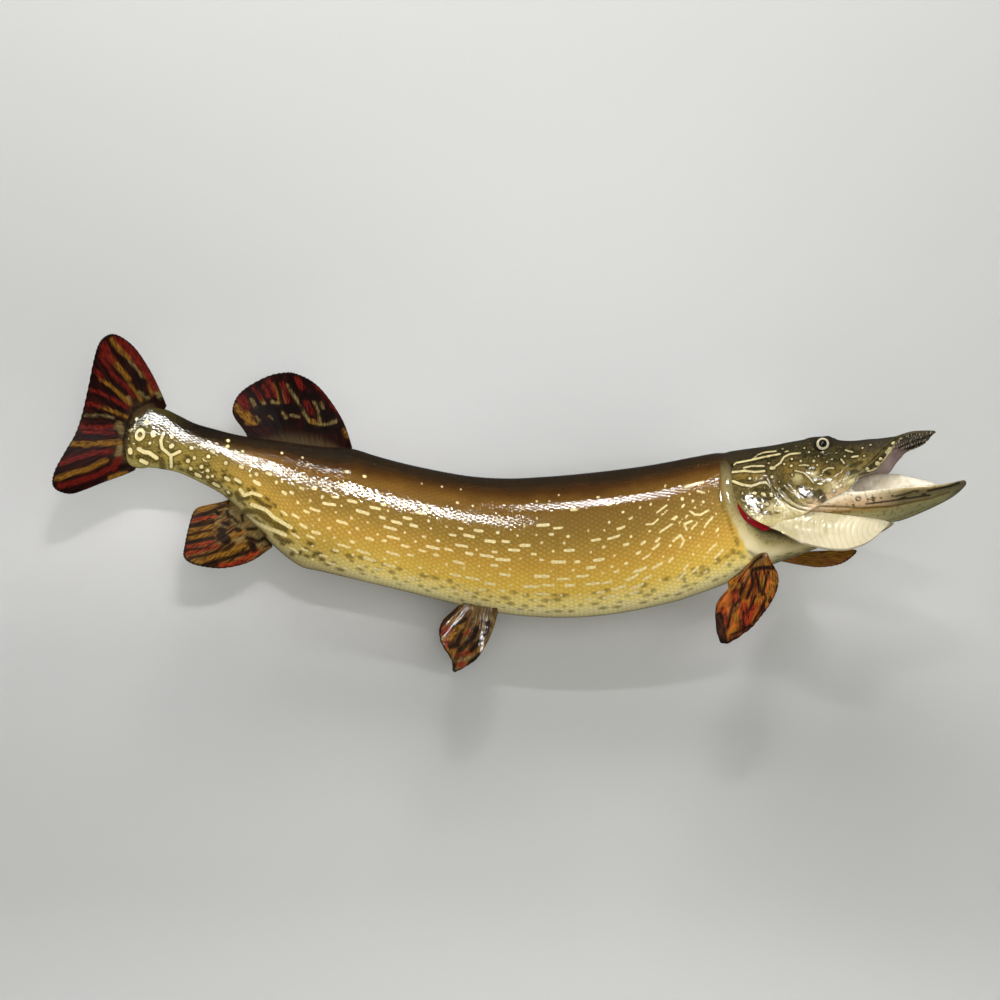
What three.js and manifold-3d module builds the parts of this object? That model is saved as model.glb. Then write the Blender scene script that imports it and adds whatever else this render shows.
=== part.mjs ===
// A northern pike mounted for a wall: the whole fish, right side out, its mouth open and its tail
// and head turned away from the wall, on a wooden block with a toothed hanger let into its back.
// Millimetres. +X runs toward the head, +Z is up, +Y points into the wall, whose face is y = 0.
// The origin is the middle of the block's back face.
//
// Every piece of the fish is shaped in body coordinates (s, l, h): s runs along the bent spine from
// the gill slit, + toward the snout; l is sideways, + toward the fish's right; h is upward.
import * as THREE from "three";
import { mergeVertices } from "three/addons/utils/BufferGeometryUtils.js";
import Module from "manifold-3d";

const wasm = await Module();
wasm.setup();

// ---------------------------------------------------------------- driving dimensions
const GAP = 0.3; // clearance between pieces that meet
const BLOCK = { length: 220, height: 70, depth: 44 }; // wooden block between body and wall
const HANGER = { length: 56, height: 11, thick: 1.2, z: 20, teeth: 9, toothHigh: 2.4, pocket: 4 };
const GILL_SLIT = [202.6, -97, 36.5]; // spine at s = 0
const SPINE = { from: -740, to: 250 }; // length of spine that is laid out

// Turns of the spine, in degrees, against s: nose up, nose out from the wall, right side up.
const PITCH = [
  [-760, -13], [-640, -17], [-540, -19], [-420, -14], [-300, -8.5],
  [-205, 0], [-110, 9], [-40, 12], [20, 11.5], [270, 11.5],
];
const YAW = [
  [-760, -17], [-600, -14], [-450, -9], [-300, -2.5], [-200, 2],
  [-100, 8], [-20, 15], [40, 21], [80, 23], [270, 23],
];
const ROLL = [[-760, 0], [-60, 0], [0, 1], [60, 4], [270, 4]];

// Trunk: height of the back, depth of the belly and half-width against s.
const BACK = [
  [-656, 16], [-652, 28], [-641, 41], [-626, 45.2], [-612, 43.7], [-594, 41.1], [-577, 41.6],
  [-546, 44.5], [-504, 52.6], [-460, 60], [-425, 66], [-398, 64.7], [-370, 63.5], [-329, 62.6],
  [-288, 62.3], [-246, 64.1], [-203, 67], [-160, 68.6], [-117, 68.4], [-76, 67], [-24, 65.9],
  [26, 62.7],
];
const BELLY = [
  [-656, 4], [-652, -9], [-643, -20], [-632, -20.8], [-622, -16.7], [-602, -13.4], [-591, -12.6],
  [-569, -14.8], [-545, -18.8], [-530, -24.3], [-501, -38.9], [-475, -54.7], [-446, -66.7],
  [-426, -66.6], [-395, -66.5], [-344, -68.2], [-303, -71.5], [-245, -78.2], [-207, -80.9],
  [-170, -82], [-133, -81.4], [-94, -79.1], [-74, -77.6], [-23, -69.7], [14, -62],
];
const FLANK = [
  [-656, 1.2], [-640, 3.4], [-620, 6.6], [-600, 10.2], [-560, 15.5], [-500, 25], [-440, 35],
  [-380, 41], [-300, 45.5], [-205, 47.5], [-100, 47], [-50, 45], [0, 41.5], [14, 40],
];
const TRUNK_FRONT_END = 14;
const TRUNK_LENGTHS = [ // name, s from, s to, stations
  ["tail_stalk", -656, -560, 9],
  ["trunk_rear", -560, -380, 9],
  ["trunk_middle", -380, -190, 7],
  ["trunk_front", -190, TRUNK_FRONT_END, 9],
];

// Head: crown of the skull, cheek and snout half-width, rim of the upper jaw, roof of the mouth.
const HEAD = { from: 14.6, mouthBack: 84, snout: 181, tip: 217.5, rows: [4, 9, 6], power: 0.8 };
const CROWN = [
  [0, 64.3], [26, 62.7], [51, 60.7], [76, 60], [101, 58.3], [113, 54.8], [125, 50.2], [137, 47.4],
  [152, 45.8], [160, 44.6], [168, 43.8], [174, 43], [181, 41.5], [190, 40.3], [198, 40.7],
  [203, 40.9], [208, 41.1], [213, 41], [217.5, 40.4],
];
const CHEEK = [
  [0, 37], [40, 38], [60, 39.5], [84, 41], [110, 37.5], [129, 34.5], [143, 31.5], [154, 29.5],
  [173, 26], [190, 23], [198, 20.5], [203, 17], [208, 12.5], [213, 8], [217.5, 3.5],
];
const UPPER_RIM = [
  [0, -32], [40, -31], [60, -26], [72, -18], [84, -13.7], [110, -8], [129, -3.4], [136, 3],
  [143, 6.9], [154, 8.6], [160, 12.2], [168, 19.2], [174, 24.6], [181, 30.6], [190, 34.1],
  [198, 35.5], [203, 36.2], [208, 37.6], [213, 38.8], [217.5, 39.2],
];
const PALATE = [
  [0, -36], [60, -30], [84, -13.7], [100, 0], [115, 10], [129, 18], [150, 26], [170, 31.5],
  [181, 34], [190, 35.8], [198, 37], [203, 37.6], [208, 38.6], [213, 39.2], [217.5, 39.6],
];
const SNOUT_TILT = [ // how far the snout's right side stands up, for each millimetre of l
  [150, 0], [160, -0.01], [168, -0.02], [174, 0.015], [181, 0.08], [190, 0.18], [198, 0.2],
  [203, 0.2], [208, 0.175], [213, 0.125], [217.5, 0.06],
];

// Lower jaw: rim, floor of the mouth, chin and half-width.
const LEVEL = [[0, 0], [1, 0]]; // a jaw without a tilt
const JAW = { from: 84, front: 205, tip: 237, rows: [10, 6], power: 0.85 };
const JAW_RIM = [
  [84, -14.4], [110, -8.7], [122, -6.7], [143, -8.7], [158, -9.9], [171, -11.4], [189, -12.8],
  [205, -14.6], [217, -15.6], [227, -15.4], [237, -14.4],
];
const JAW_FLOOR = [
  [84, -15], [100, -17.5], [140, -19], [170, -20.5], [200, -21], [220, -20], [230, -17.4],
  [237, -14.6],
];
const CHIN = [
  [84, -23], [100, -31], [120, -37.5], [150, -40.5], [168, -41], [196, -35.7], [220, -29],
  [231, -23.6], [237, -19.4],
];
const JAW_WIDTH = [
  [84, 40.6], [110, 37.2], [129, 33.5], [143, 30.6], [158, 28.2], [171, 26.2], [189, 23],
  [205, 19.4], [217, 15.6], [226, 12], [233, 8.4], [237, 4],
];

// Tongue: top and half-width against s, on a flat underside.
const TONGUE = [
  [104, 1, 9], [120, 6.5, 12], [143, 10, 13.5], [155, 9.4, 13], [172, 6, 12], [185, 0.4, 10.5],
  [197, -5.2, 8.5], [205, -9.5, 6], [209, -12.6, 2.5],
];
const TONGUE_UNDERSIDE = -16;
const TONGUE_ARC = 10; // points across its top
const TONGUE_ROWS = 8;
const TONGUE_POWER = 0.7; // how flat its top is

// Throat: the narrow wall of the belly that runs forward between the gill openings.
const THROAT_ROWS = 8;
const THROAT = [ // s, upper edge, underside, half-width
  [TRUNK_FRONT_END + GAP, 0, -61.8, 39.4], [22, -8, -60.8, 38], [30, -15, -59.6, 35.5],
  [40, -23, -58, 31], [50, -28, -56.6, 26], [70, -31, -53.6, 18.5], [95, -33, -49.6, 12],
  [125, -38, -46, 8], [152, -41, -43.6, 4],
];

// Gill cover: its outline is swept from a front edge to a rear edge, each against height.
const COVER_THICK = 3.2;
const COVER_BULGE = 1.5;
const COVER_GRID = [9, 5]; // faces along it and across it
const COVER_REAR = [ // from the top down: s, half-width, h
  [17, 44, 49], [12.6, 49, 38], [11.8, 51.5, 26], [12.6, 52.5, 14], [16, 52, 4.5], [23.4, 51, -8],
  [33, 50, -17], [44, 48.5, -25],
];
const COVER_FRONT = [
  [60, 34, 51], [59, 41.2, 40], [58, 42.8, 28], [58, 43.6, 14], [61, 44, 4], [67, 43.8, -4.5],
  [76, 43, -12], [85, 41.6, -16.2],
];

// Throat membrane: hung from the jaw line, down to its free edge: s, half-width, h.
const MEMBRANE_THICK = 1.6;
const MEMBRANE_GRID = [9, 3];
const MEMBRANE_TUCK = 0.5; // share of its depth that the membrane on the wall side hangs down
const MEMBRANE_ROOT = [
  [45, 48.2, -26], [62, 45, -23], [81, 40, -20.2], [100, 35, -24], [118, 29, -28], [134, 23, -32],
  [146, 17, -36], [158, 9, -41.8],
];
const MEMBRANE_EDGE = [
  [44.2, 48.4, -26.6], [54.6, 47, -33.4], [70, 44, -46.3], [88, 41, -56], [105, 37, -62.3],
  [121, 31.5, -63.5], [139, 21.5, -57.6], [158.6, 9.4, -42.6],
];

// Gills: a curved red slab behind each gill opening: s, half-width, h.
const GILL_THICK = 4;
const GILL_GRID = [5, 2];
const GILL_REAR = [[14, 43.6, 14], [13, 45, 2], [16.5, 45, -9], [24.5, 43.5, -18.5], [36, 40, -27]];
const GILL_FRONT = [[34, 42, 18], [36, 43, 4], [42, 42.4, -7], [50, 40.4, -16], [58, 37, -24]];

const EYE = { s: 108.5, side: 24.6, h: 46.4, radius: 9.2, meridians: 14, parallels: 9 };

// Fins: each is a fan of rays from a root line to a margin, both as rows of s, l, h.
const FIN_THICK = 1.4;
const FIN_ROWS = 2; // faces from root to margin
const CAUDAL_ROOT = [
  [-627, 0, 40], [-636, 0, 34], [-644, 0, 25], [-648, 0, 13], [-648, 0, 1], [-643, 0, -9],
  [-635, 0, -15],
];
const CAUDAL_MARGIN = [
  [-625, 0, 49], [-636, 1, 62.6], [-651, 2, 79], [-669, 3, 95], [-683, 3, 102.3],
  [-695, 3, 103.8], [-702.5, 2, 98], [-706, 1, 88], [-706, 0, 70], [-704, -2, 41],
  [-703, -3, 15], [-704.5, -2, -6], [-710, 0, -26], [-715, 2, -46], [-714.3, 3, -60],
  [-707, 3, -66], [-693, 2, -65.8], [-679.5, 1, -57.8], [-662, 0, -44.4], [-645, 0, -31.7],
  [-636, 0, -24],
];
const DORSAL_ROOT = [[-424, 0, 58], [-450, 0, 54], [-480, 0, 49], [-510, 0, 43], [-535, 0, 38]];
const DORSAL_MARGIN = [
  [-425.5, 0, 68], [-439.5, 1, 88.4], [-456, 2, 103.8], [-476, 3, 117], [-492.6, 3, 123.2],
  [-508.8, 2, 125], [-520, 0, 123.5], [-536.6, -3, 114.6], [-553, -5, 97.7], [-561, -5, 83.7],
  [-562, -3, 70.2], [-558, -2, 61.7], [-546, -1, 53.4], [-537, 0, 48],
];
const ANAL_ROOT = [[-479, 0, -44], [-495, 0, -34], [-510, 0, -26], [-522, 0, -20], [-532, 0, -16]];
const ANAL_MARGIN = [
  [-478, 0, -56], [-494.7, 2, -77], [-516, 4, -91], [-535, 6, -96.4], [-551, 6, -97.4],
  [-560, 5, -92.8], [-562.5, 3, -81], [-564.5, 0, -65], [-565, -2, -47.5], [-560, -2, -39.2],
  [-546.3, -1, -32.3], [-533, 0, -27],
];
const PELVIC_ROOT = [[-249, 19, -66], [-258, 18, -66], [-267, 17, -66], [-276, 16, -65]];
const PELVIC_MARGIN = [
  [-247, 24, -75.9], [-250.3, 30, -94.6], [-255.5, 35, -110.4], [-261.7, 38, -123.3],
  [-268.2, 40, -131], [-281.4, 42, -141], [-285, 38, -129.4], [-297.9, 34, -110.8],
  [-297, 28, -95.4], [-287.3, 24, -80.5],
];
const PECTORAL_ROOT = [[31, 29, -47], [26, 29, -48], [21, 28, -50], [17, 27, -51]];
const PECTORAL_MARGIN = [
  [34.9, 33, -60.4], [41.5, 38, -73.8], [39.6, 44, -88.6], [31.4, 50, -101.4], [18.5, 55, -111.4],
  [-1, 58, -121.8], [-34, 56, -127.4], [-34.2, 44, -91.8], [-18, 38, -76], [-15, 35, -68],
  [12, 30, -58],
];
const FAR_PECTORAL_MARGIN = [ // the left one is held forward, toward the wall
  [38, -44, -49], [60, -64, -50], [82, -78, -51.5], [98, -88, -54], [90, -88, -61], [78, -84, -66],
  [60, -74, -66], [45, -58, -62], [30, -42, -56],
];

// Teeth: a row on each side of the front of both jaws: s from, s to, count, length.
const TEETH = { radius: 1, sides: 4, sunk: 1.2, upper: [180, 206, 5, 4.5], lower: [176, 224, 5, 5] };

// ---------------------------------------------------------------- body coordinates
const lerp = (a, b, t) => a + (b - a) * t;

// Column values of a table at x: a smooth curve through its rows, held level past its ends.
function curve(table, x) {
  const last = table.length - 1;
  const slope = (i, k) => {
    const a = table[Math.max(i - 1, 0)];
    const b = table[Math.min(i + 1, last)];
    return (b[k] - a[k]) / (b[0] - a[0]);
  };
  const at = Math.min(Math.max(x, table[0][0]), table[last][0]);
  let i = 0;
  while (i < last - 1 && at > table[i + 1][0]) i++;
  const span = table[i + 1][0] - table[i][0];
  const u = (at - table[i][0]) / span;
  const out = [];
  for (let k = 1; k < table[0].length; k++) {
    const c = u * u * (3 - 2 * u);
    const rise = u * (u - 1) * (u - 1) * span * slope(i, k);
    const fall = u * u * (u - 1) * span * slope(i + 1, k);
    out.push(lerp(table[i][k], table[i + 1][k], c) + rise + fall);
  }
  return out.length > 1 ? out : out[0];
}

// A point along rows of s, l, h, by the share u of the rows, from 0 to 1.
function along(rows, u) {
  return curve(rows.map((row, i) => [i / (rows.length - 1), ...row]), u);
}

// Axes of the body at s: forward, right and up.
function axes(s) {
  const [pitch, yaw, roll] = [PITCH, YAW, ROLL].map((t) => THREE.MathUtils.degToRad(curve(t, s)));
  const [cp, sp, cy, sy] = [Math.cos(pitch), Math.sin(pitch), Math.cos(yaw), Math.sin(yaw)];
  const forward = new THREE.Vector3(cp * cy, -cp * sy, sp);
  const level = new THREE.Vector3(-sy, -cy, 0);
  const upright = new THREE.Vector3(-sp * cy, sp * sy, cp);
  const right = level.clone().multiplyScalar(Math.cos(roll)).addScaledVector(upright, Math.sin(roll));
  const up = upright.multiplyScalar(Math.cos(roll)).addScaledVector(level, -Math.sin(roll));
  return { forward, right, up };
}

// The spine, one point for each millimetre of s, summed outward from the gill slit.
const spine = new Map([[0, new THREE.Vector3(...GILL_SLIT)]]);
for (const [end, step] of [[SPINE.to, 1], [SPINE.from, -1]]) {
  for (let s = 0; s !== end; s += step) {
    const move = axes(s + step / 2).forward.multiplyScalar(step);
    spine.set(s + step, spine.get(s).clone().add(move));
  }
}

function place([s, l, h]) {
  const { forward, right, up } = axes(s);
  const base = Math.round(s);
  const p = spine.get(base).clone().addScaledVector(forward, s - base);
  return p.addScaledVector(right, l).addScaledVector(up, h);
}

// ---------------------------------------------------------------- closed surfaces
// A solid from world points and triangles; a surface that came out inside out is turned.
function closed(points, faces) {
  let volume = 0;
  for (const [a, b, c] of faces) {
    volume += points[a].dot(points[b].clone().cross(points[c]));
  }
  const index = faces.flatMap(([a, b, c]) => (volume < 0 ? [a, c, b] : [a, b, c]));
  const geometry = new THREE.BufferGeometry().setFromPoints(points).setIndex(index);
  return solid(geometry);
}

function solid(geometry) {
  const bare = geometry.clone();
  bare.deleteAttribute("normal");
  bare.deleteAttribute("uv");
  const merged = mergeVertices(bare, 1e-4);
  const vertProperties = merged.attributes.position.array;
  const triVerts = new Uint32Array(merged.index.array);
  return new wasm.Manifold(new wasm.Mesh({ numProp: 3, vertProperties, triVerts }));
}

// Skin over rings of [l, h] points at stations of s, with flat ends.
function loft(stations, ring) {
  const rings = stations.map((s) => ring(s));
  const count = rings[0].length;
  const points = rings.flatMap((r, i) => r.map(([l, h]) => place([stations[i], l, h])));
  const faces = [];
  for (let i = 0; i + 1 < rings.length; i++) {
    for (let j = 0; j < count; j++) {
      const [a, b] = [i * count + j, i * count + ((j + 1) % count)];
      faces.push([a, a + count, b], [a + count, b + count, b]);
    }
  }
  const cap = (i) => {
    const flat = rings[i].map(([l, h]) => new THREE.Vector2(l, h));
    return THREE.ShapeUtils.triangulateShape(flat, []).map((f) => f.map((v) => i * count + v));
  };
  const turns = THREE.ShapeUtils.area(rings[0].map(([l, h]) => new THREE.Vector2(l, h))) > 0;
  const ordered = (tris, flip) => tris.map(([a, b, c]) => (flip ? [a, c, b] : [a, b, c]));
  faces.push(...ordered(cap(0), !turns), ...ordered(cap(rings.length - 1), turns));
  return closed(points, faces);
}

// A sheet of even thickness through a grid of body points, columns by rows.
function sheet(columns, rows, thick, point) {
  const grid = [];
  for (let i = 0; i <= columns; i++) {
    for (let j = 0; j <= rows; j++) grid.push(place(point(i / columns, j / rows)));
  }
  const at = (i, j) => i * (rows + 1) + j;
  const pick = (i, j) => grid[at(THREE.MathUtils.clamp(i, 0, columns), THREE.MathUtils.clamp(j, 0, rows))];
  const points = [];
  for (const side of [1, -1]) {
    for (let i = 0; i <= columns; i++) {
      for (let j = 0; j <= rows; j++) {
        const du = pick(i + 1, j).clone().sub(pick(i - 1, j));
        const dv = pick(i, j + 1).clone().sub(pick(i, j - 1));
        const normal = du.cross(dv).normalize();
        points.push(pick(i, j).clone().addScaledVector(normal, (side * thick) / 2));
      }
    }
  }
  const half = grid.length;
  const faces = [];
  const quad = (a, b, c, d) => faces.push([a, b, c], [a, c, d]);
  for (let i = 0; i < columns; i++) {
    for (let j = 0; j < rows; j++) {
      const [a, b, c, d] = [at(i, j), at(i + 1, j), at(i + 1, j + 1), at(i, j + 1)];
      quad(a, b, c, d);
      quad(d + half, c + half, b + half, a + half);
    }
    quad(at(i, 0), at(i, 0) + half, at(i + 1, 0) + half, at(i + 1, 0));
    quad(at(i + 1, rows), at(i + 1, rows) + half, at(i, rows) + half, at(i, rows));
  }
  for (let j = 0; j < rows; j++) {
    quad(at(0, j + 1), at(0, j + 1) + half, at(0, j) + half, at(0, j));
    quad(at(columns, j), at(columns, j) + half, at(columns, j + 1) + half, at(columns, j + 1));
  }
  return closed(points, faces);
}

// Stations of s, evenly spaced and closer together toward the far end by the given power.
function stations(from, to, count, power = 1) {
  return Array.from({ length: count + 1 }, (_, i) => lerp(to, from, (1 - i / count) ** power));
}

const mirrored = (rows) => rows.map(([s, l, h]) => [s, -l, h]);

// A piece less its neighbours: its largest body, without crumbs that the cuts leave.
function cutBy(piece, ...others) {
  const left = others.reduce((rest, other) => rest.subtract(other), piece);
  return left.decompose().sort((a, b) => b.volume() - a.volume())[0];
}

// A power of a sine or cosine that keeps its sign, for rounded-square ovals.
const squared = (value, power) => Math.sign(value) * Math.abs(value) ** power;

// ---------------------------------------------------------------- trunk
const TRUNK_SIDES = 22;
const THROAT_SIDES = 16;
const OVAL_POWER = 0.88;

const trunkRing = (grow) => (s) =>
  oval(TRUNK_SIDES, curve(FLANK, s) + grow, curve(BACK, s) + grow, curve(BELLY, s) - grow);

const trunk = (from, to, count, grow = 0) => loft(stations(from, to, count), trunkRing(grow));
const trunkRows = TRUNK_LENGTHS.flatMap(([, from, to, count]) => stations(from, to, count).slice(0, -1));
const trunkRoom = loft([-656 - GAP, ...trunkRows, TRUNK_FRONT_END + GAP], trunkRing(GAP));

// ---------------------------------------------------------------- head
const TIP_POWER = 1.6; // how much closer together the rows stand toward a jaw's tip
const HEAD_ARC = 15; // points over the outside of a head or jaw section
const HEAD_INNER = 7; // points across its mouth side
const LIP = 4; // width of a jaw's rim
const LIP_SHARE = 0.3; // and the most of the half-width that it takes up

// A section shaped as an arch: outside from rim to rim, then back across the mouth side, inside
// a lip along each rim.
function arch(half, rim, outer, inner, lip, grow, power) {
  const sign = Math.sign(outer - rim);
  const ring = [];
  for (let i = 0; i < HEAD_ARC; i++) {
    const turn = (Math.PI * i) / (HEAD_ARC - 1);
    const l = (half + grow) * squared(Math.cos(turn), power);
    ring.push([l, rim - sign * grow + (outer - rim + 2 * sign * grow) * Math.sin(turn) ** power]);
  }
  for (let i = 0; i < HEAD_INNER; i++) {
    const turn = (Math.PI * i) / (HEAD_INNER - 1);
    const l = -(half - lip) * Math.cos(turn);
    ring.push([l, rim - sign * grow + (inner - rim) * Math.sin(turn)]);
  }
  return ring;
}

function headSolid(grow = 0) {
  const ring = (s) => {
    const half = curve(CHEEK, s);
    const lip = Math.min(LIP, LIP_SHARE * half);
    const flat = arch(half, curve(UPPER_RIM, s), curve(CROWN, s), curve(PALATE, s), lip, grow, HEAD.power);
    return flat.map(([l, h]) => [l, h + l * curve(SNOUT_TILT, s)]);
  };
  const [behind, middle, front] = HEAD.rows;
  return loft([
    ...stations(HEAD.from, HEAD.mouthBack, behind),
    ...stations(HEAD.mouthBack, HEAD.snout, middle).slice(1),
    ...stations(HEAD.snout, HEAD.tip + grow, front, TIP_POWER).slice(1),
  ], ring);
}

function jawSolid(grow = 0) {
  const ring = (s) => {
    const half = curve(JAW_WIDTH, s);
    const lip = Math.min(LIP, LIP_SHARE * half);
    return arch(half, curve(JAW_RIM, s), curve(CHIN, s), curve(JAW_FLOOR, s), lip, grow, JAW.power);
  };
  const [behind, front] = JAW.rows;
  return loft([
    ...stations(JAW.from - grow, JAW.front, behind),
    ...stations(JAW.front, JAW.tip + grow, front, TIP_POWER).slice(1),
  ], ring);
}

function tongueSolid() {
  return loft(stations(TONGUE[0][0], TONGUE[TONGUE.length - 1][0], TONGUE_ROWS), (s) => {
    const [top, half] = curve(TONGUE, s);
    return Array.from({ length: TONGUE_ARC }, (_, i) => {
      const turn = (Math.PI * i) / (TONGUE_ARC - 1);
      const high = (top - TONGUE_UNDERSIDE) * Math.sin(turn) ** TONGUE_POWER;
      return [half * Math.cos(turn), TONGUE_UNDERSIDE + high];
    });
  });
}

// An oval of [l, h] points, slightly squarer than an ellipse.
function oval(count, half, top, bottom) {
  return Array.from({ length: count }, (_, i) => {
    const turn = (2 * Math.PI * i) / count;
    const high = ((top - bottom) / 2) * squared(Math.sin(turn), OVAL_POWER);
    return [half * squared(Math.cos(turn), OVAL_POWER), (top + bottom) / 2 + high];
  });
}

function throatSolid(grow = 0) {
  const end = THROAT[THROAT.length - 1][0];
  return loft(stations(THROAT[0][0], end + grow, THROAT_ROWS), (s) => {
    const [top, bottom, half] = curve(THROAT, s);
    return oval(THROAT_SIDES, half + grow, top + grow, bottom - grow);
  });
}

function eye(side, grow = 0) {
  const ball = solid(new THREE.SphereGeometry(EYE.radius + grow, EYE.meridians, EYE.parallels));
  return ball.translate(place([EYE.s, side * EYE.side, EYE.h]).toArray());
}

// Cones along both sides of a jaw's rim, each sunk a little into it.
function teeth([from, to, count, length], rim, width, point, tilt) {
  const cones = [];
  for (const side of [1, -1]) {
    for (const s of stations(from, to, count - 1)) {
      const cone = new THREE.ConeGeometry(TEETH.radius, length, TEETH.sides);
      if (point < 0) cone.rotateX(Math.PI);
      cone.rotateX(Math.PI / 2);
      const high = point * (length / 2 - TEETH.sunk);
      const l = side * (curve(width, s) - LIP / 2);
      const at = place([s, l, curve(rim, s) + l * curve(tilt, s) + high]);
      cones.push(solid(cone).translate(at.toArray()));
    }
  }
  return cones.reduce((all, cone) => all.add(cone));
}

// Rows part of the way from one line to another.
const partWay = (from, to, share) => from.map((row, i) => row.map((v, k) => lerp(v, to[i][k], share)));

// A sheet swept between two lines of s, l, h, bulged outward in the middle.
function swept(first, second, [columns, rows], thick, bulge = 0) {
  return sheet(columns, rows, thick, (u, v) => {
    const [a, b] = [along(first, u), along(second, u)];
    const [s, l, h] = a.map((value, k) => lerp(value, b[k], v));
    return [s, l + Math.sign(l) * bulge * Math.sin(Math.PI * v) * Math.sin(Math.PI * u), h];
  });
}

// ---------------------------------------------------------------- fins
const FINS = [ // name, root, margin, faces along the margin, cup to the right
  ["caudal_fin", CAUDAL_ROOT, CAUDAL_MARGIN, 20, 0],
  ["dorsal_fin", DORSAL_ROOT, DORSAL_MARGIN, 13, 0],
  ["anal_fin", ANAL_ROOT, ANAL_MARGIN, 12, 0],
  ["pelvic_fin_right", PELVIC_ROOT, PELVIC_MARGIN, 9, 3],
  ["pelvic_fin_left", mirrored(PELVIC_ROOT), mirrored(PELVIC_MARGIN), 9, -3],
  ["pectoral_fin_right", PECTORAL_ROOT, PECTORAL_MARGIN, 10, 5],
  ["pectoral_fin_left", mirrored(PECTORAL_ROOT), FAR_PECTORAL_MARGIN, 10, 0],
];

const finSheet = (root, margin, columns, cup) =>
  sheet(columns, FIN_ROWS, FIN_THICK, (u, v) => {
    const [a, b] = [along(root, u), along(margin, u)];
    const [s, l, h] = a.map((value, k) => lerp(value, b[k], v));
    return [s, l + cup * Math.sin(Math.PI * u) * v, h];
  });

// ---------------------------------------------------------------- wall block and hanger
function box(x, y, z, at) {
  return solid(new THREE.BoxGeometry(x, y, z)).translate(at);
}

// A steel strip whose lower edge is a row of teeth, flat against the floor of its pocket.
function hangerStrip() {
  const [right, top] = [HANGER.length / 2, HANGER.height / 2];
  const outline = [[-right, top], [-right, -top]];
  const pitch = (HANGER.length - 2 * HANGER.height) / HANGER.teeth;
  for (let i = 0; i <= 2 * HANGER.teeth; i++) {
    const x = ((i - HANGER.teeth) * pitch) / 2;
    outline.push([x, -top + (i % 2) * HANGER.toothHigh]);
  }
  outline.push([right, -top], [right, top]);
  const shape = new THREE.Shape(outline.map(([x, y]) => new THREE.Vector2(x, y)));
  const geometry = new THREE.ExtrudeGeometry(shape, { depth: HANGER.thick, bevelEnabled: false });
  geometry.rotateX(Math.PI / 2);
  return solid(geometry).translate([0, HANGER.thick + GAP - HANGER.pocket, HANGER.z]);
}

const hangerPocket = box(HANGER.length + HANGER.height, 2 * HANGER.pocket, 2 * HANGER.height,
  [0, 0, HANGER.z]);

// ---------------------------------------------------------------- the pieces
const headRoom = headSolid(GAP);
const jawRoom = jawSolid(GAP);
const throatRoom = throatSolid(GAP);
const onSide = (rows) => (side) => (side > 0 ? rows : mirrored(rows));
const [coverRear, coverFront] = [onSide(COVER_REAR), onSide(COVER_FRONT)];
const membraneRoot = onSide(MEMBRANE_ROOT);
const tucked = mirrored(partWay(MEMBRANE_ROOT, MEMBRANE_EDGE, MEMBRANE_TUCK));
const membraneEdge = (side) => (side > 0 ? MEMBRANE_EDGE : tucked);
const [gillRear, gillFront] = [onSide(GILL_REAR), onSide(GILL_FRONT)];

const cover = (side, grow = 0) =>
  swept(coverRear(side), coverFront(side), COVER_GRID, COVER_THICK + 2 * grow, COVER_BULGE);

const pieces = {};
for (const [name, from, to, count] of TRUNK_LENGTHS) {
  pieces[name] = trunk(from + GAP / 2, to - GAP / 2, count);
}

const sides = [["right", 1], ["left", -1]];
const eyeRooms = sides.map(([, side]) => eye(side, GAP));
pieces.head = cutBy(headSolid().add(teeth(TEETH.upper, UPPER_RIM, CHEEK, -1, SNOUT_TILT)), ...eyeRooms);
pieces.lower_jaw = cutBy(jawSolid().add(teeth(TEETH.lower, JAW_RIM, JAW_WIDTH, 1, LEVEL)), headRoom);
pieces.tongue = cutBy(tongueSolid(), headRoom, jawRoom);
pieces.throat = cutBy(throatSolid(), headRoom, jawRoom);

for (const [name, side] of sides) {
  pieces["eye_" + name] = eye(side);
  pieces["gill_cover_" + name] = cutBy(cover(side), headRoom, trunkRoom, jawRoom);
  pieces["throat_membrane_" + name] = cutBy(
    swept(membraneRoot(side), membraneEdge(side), MEMBRANE_GRID, MEMBRANE_THICK),
    headRoom, jawRoom, throatRoom, cover(side, GAP), trunkRoom,
  );
  pieces["gills_" + name] = cutBy(
    swept(gillRear(side), gillFront(side), GILL_GRID, GILL_THICK),
    headRoom, throatRoom, trunkRoom, cover(side, GAP),
  );
}

for (const [name, root, margin, columns, cup] of FINS) {
  pieces[name] = cutBy(finSheet(root, margin, columns, cup), trunkRoom, throatRoom);
}

const blockAt = [0, -BLOCK.depth / 2, 0];
pieces.wall_block = cutBy(box(BLOCK.length, BLOCK.depth, BLOCK.height, blockAt), trunkRoom, hangerPocket);
pieces.hanger = hangerStrip();

// ---------------------------------------------------------------- finishes
const FINISH = { // colour, roughness, metalness
  skin: ["#7a6a32", 0.25, 0], head: ["#5c5426", 0.25, 0], pale: ["#d9cda4", 0.35, 0],
  mouth: ["#c9a795", 0.4, 0], gill: ["#8c1a20", 0.35, 0], fin: ["#7a2f1c", 0.3, 0],
  eye: ["#d8d4bf", 0.05, 0], wood: ["#3b2c20", 0.7, 0], steel: ["#9a9c9e", 0.35, 1],
};
const FINISH_OF = [
  [/^(trunk|tail)/, "skin"], [/^(head|gill_cover)/, "head"], [/^(lower_jaw|throat)/, "pale"],
  [/^tongue/, "mouth"], [/^gills/, "gill"], [/_fin/, "fin"], [/^eye/, "eye"],
  [/^wall_block/, "wood"], [/^hanger/, "steel"],
];

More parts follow.
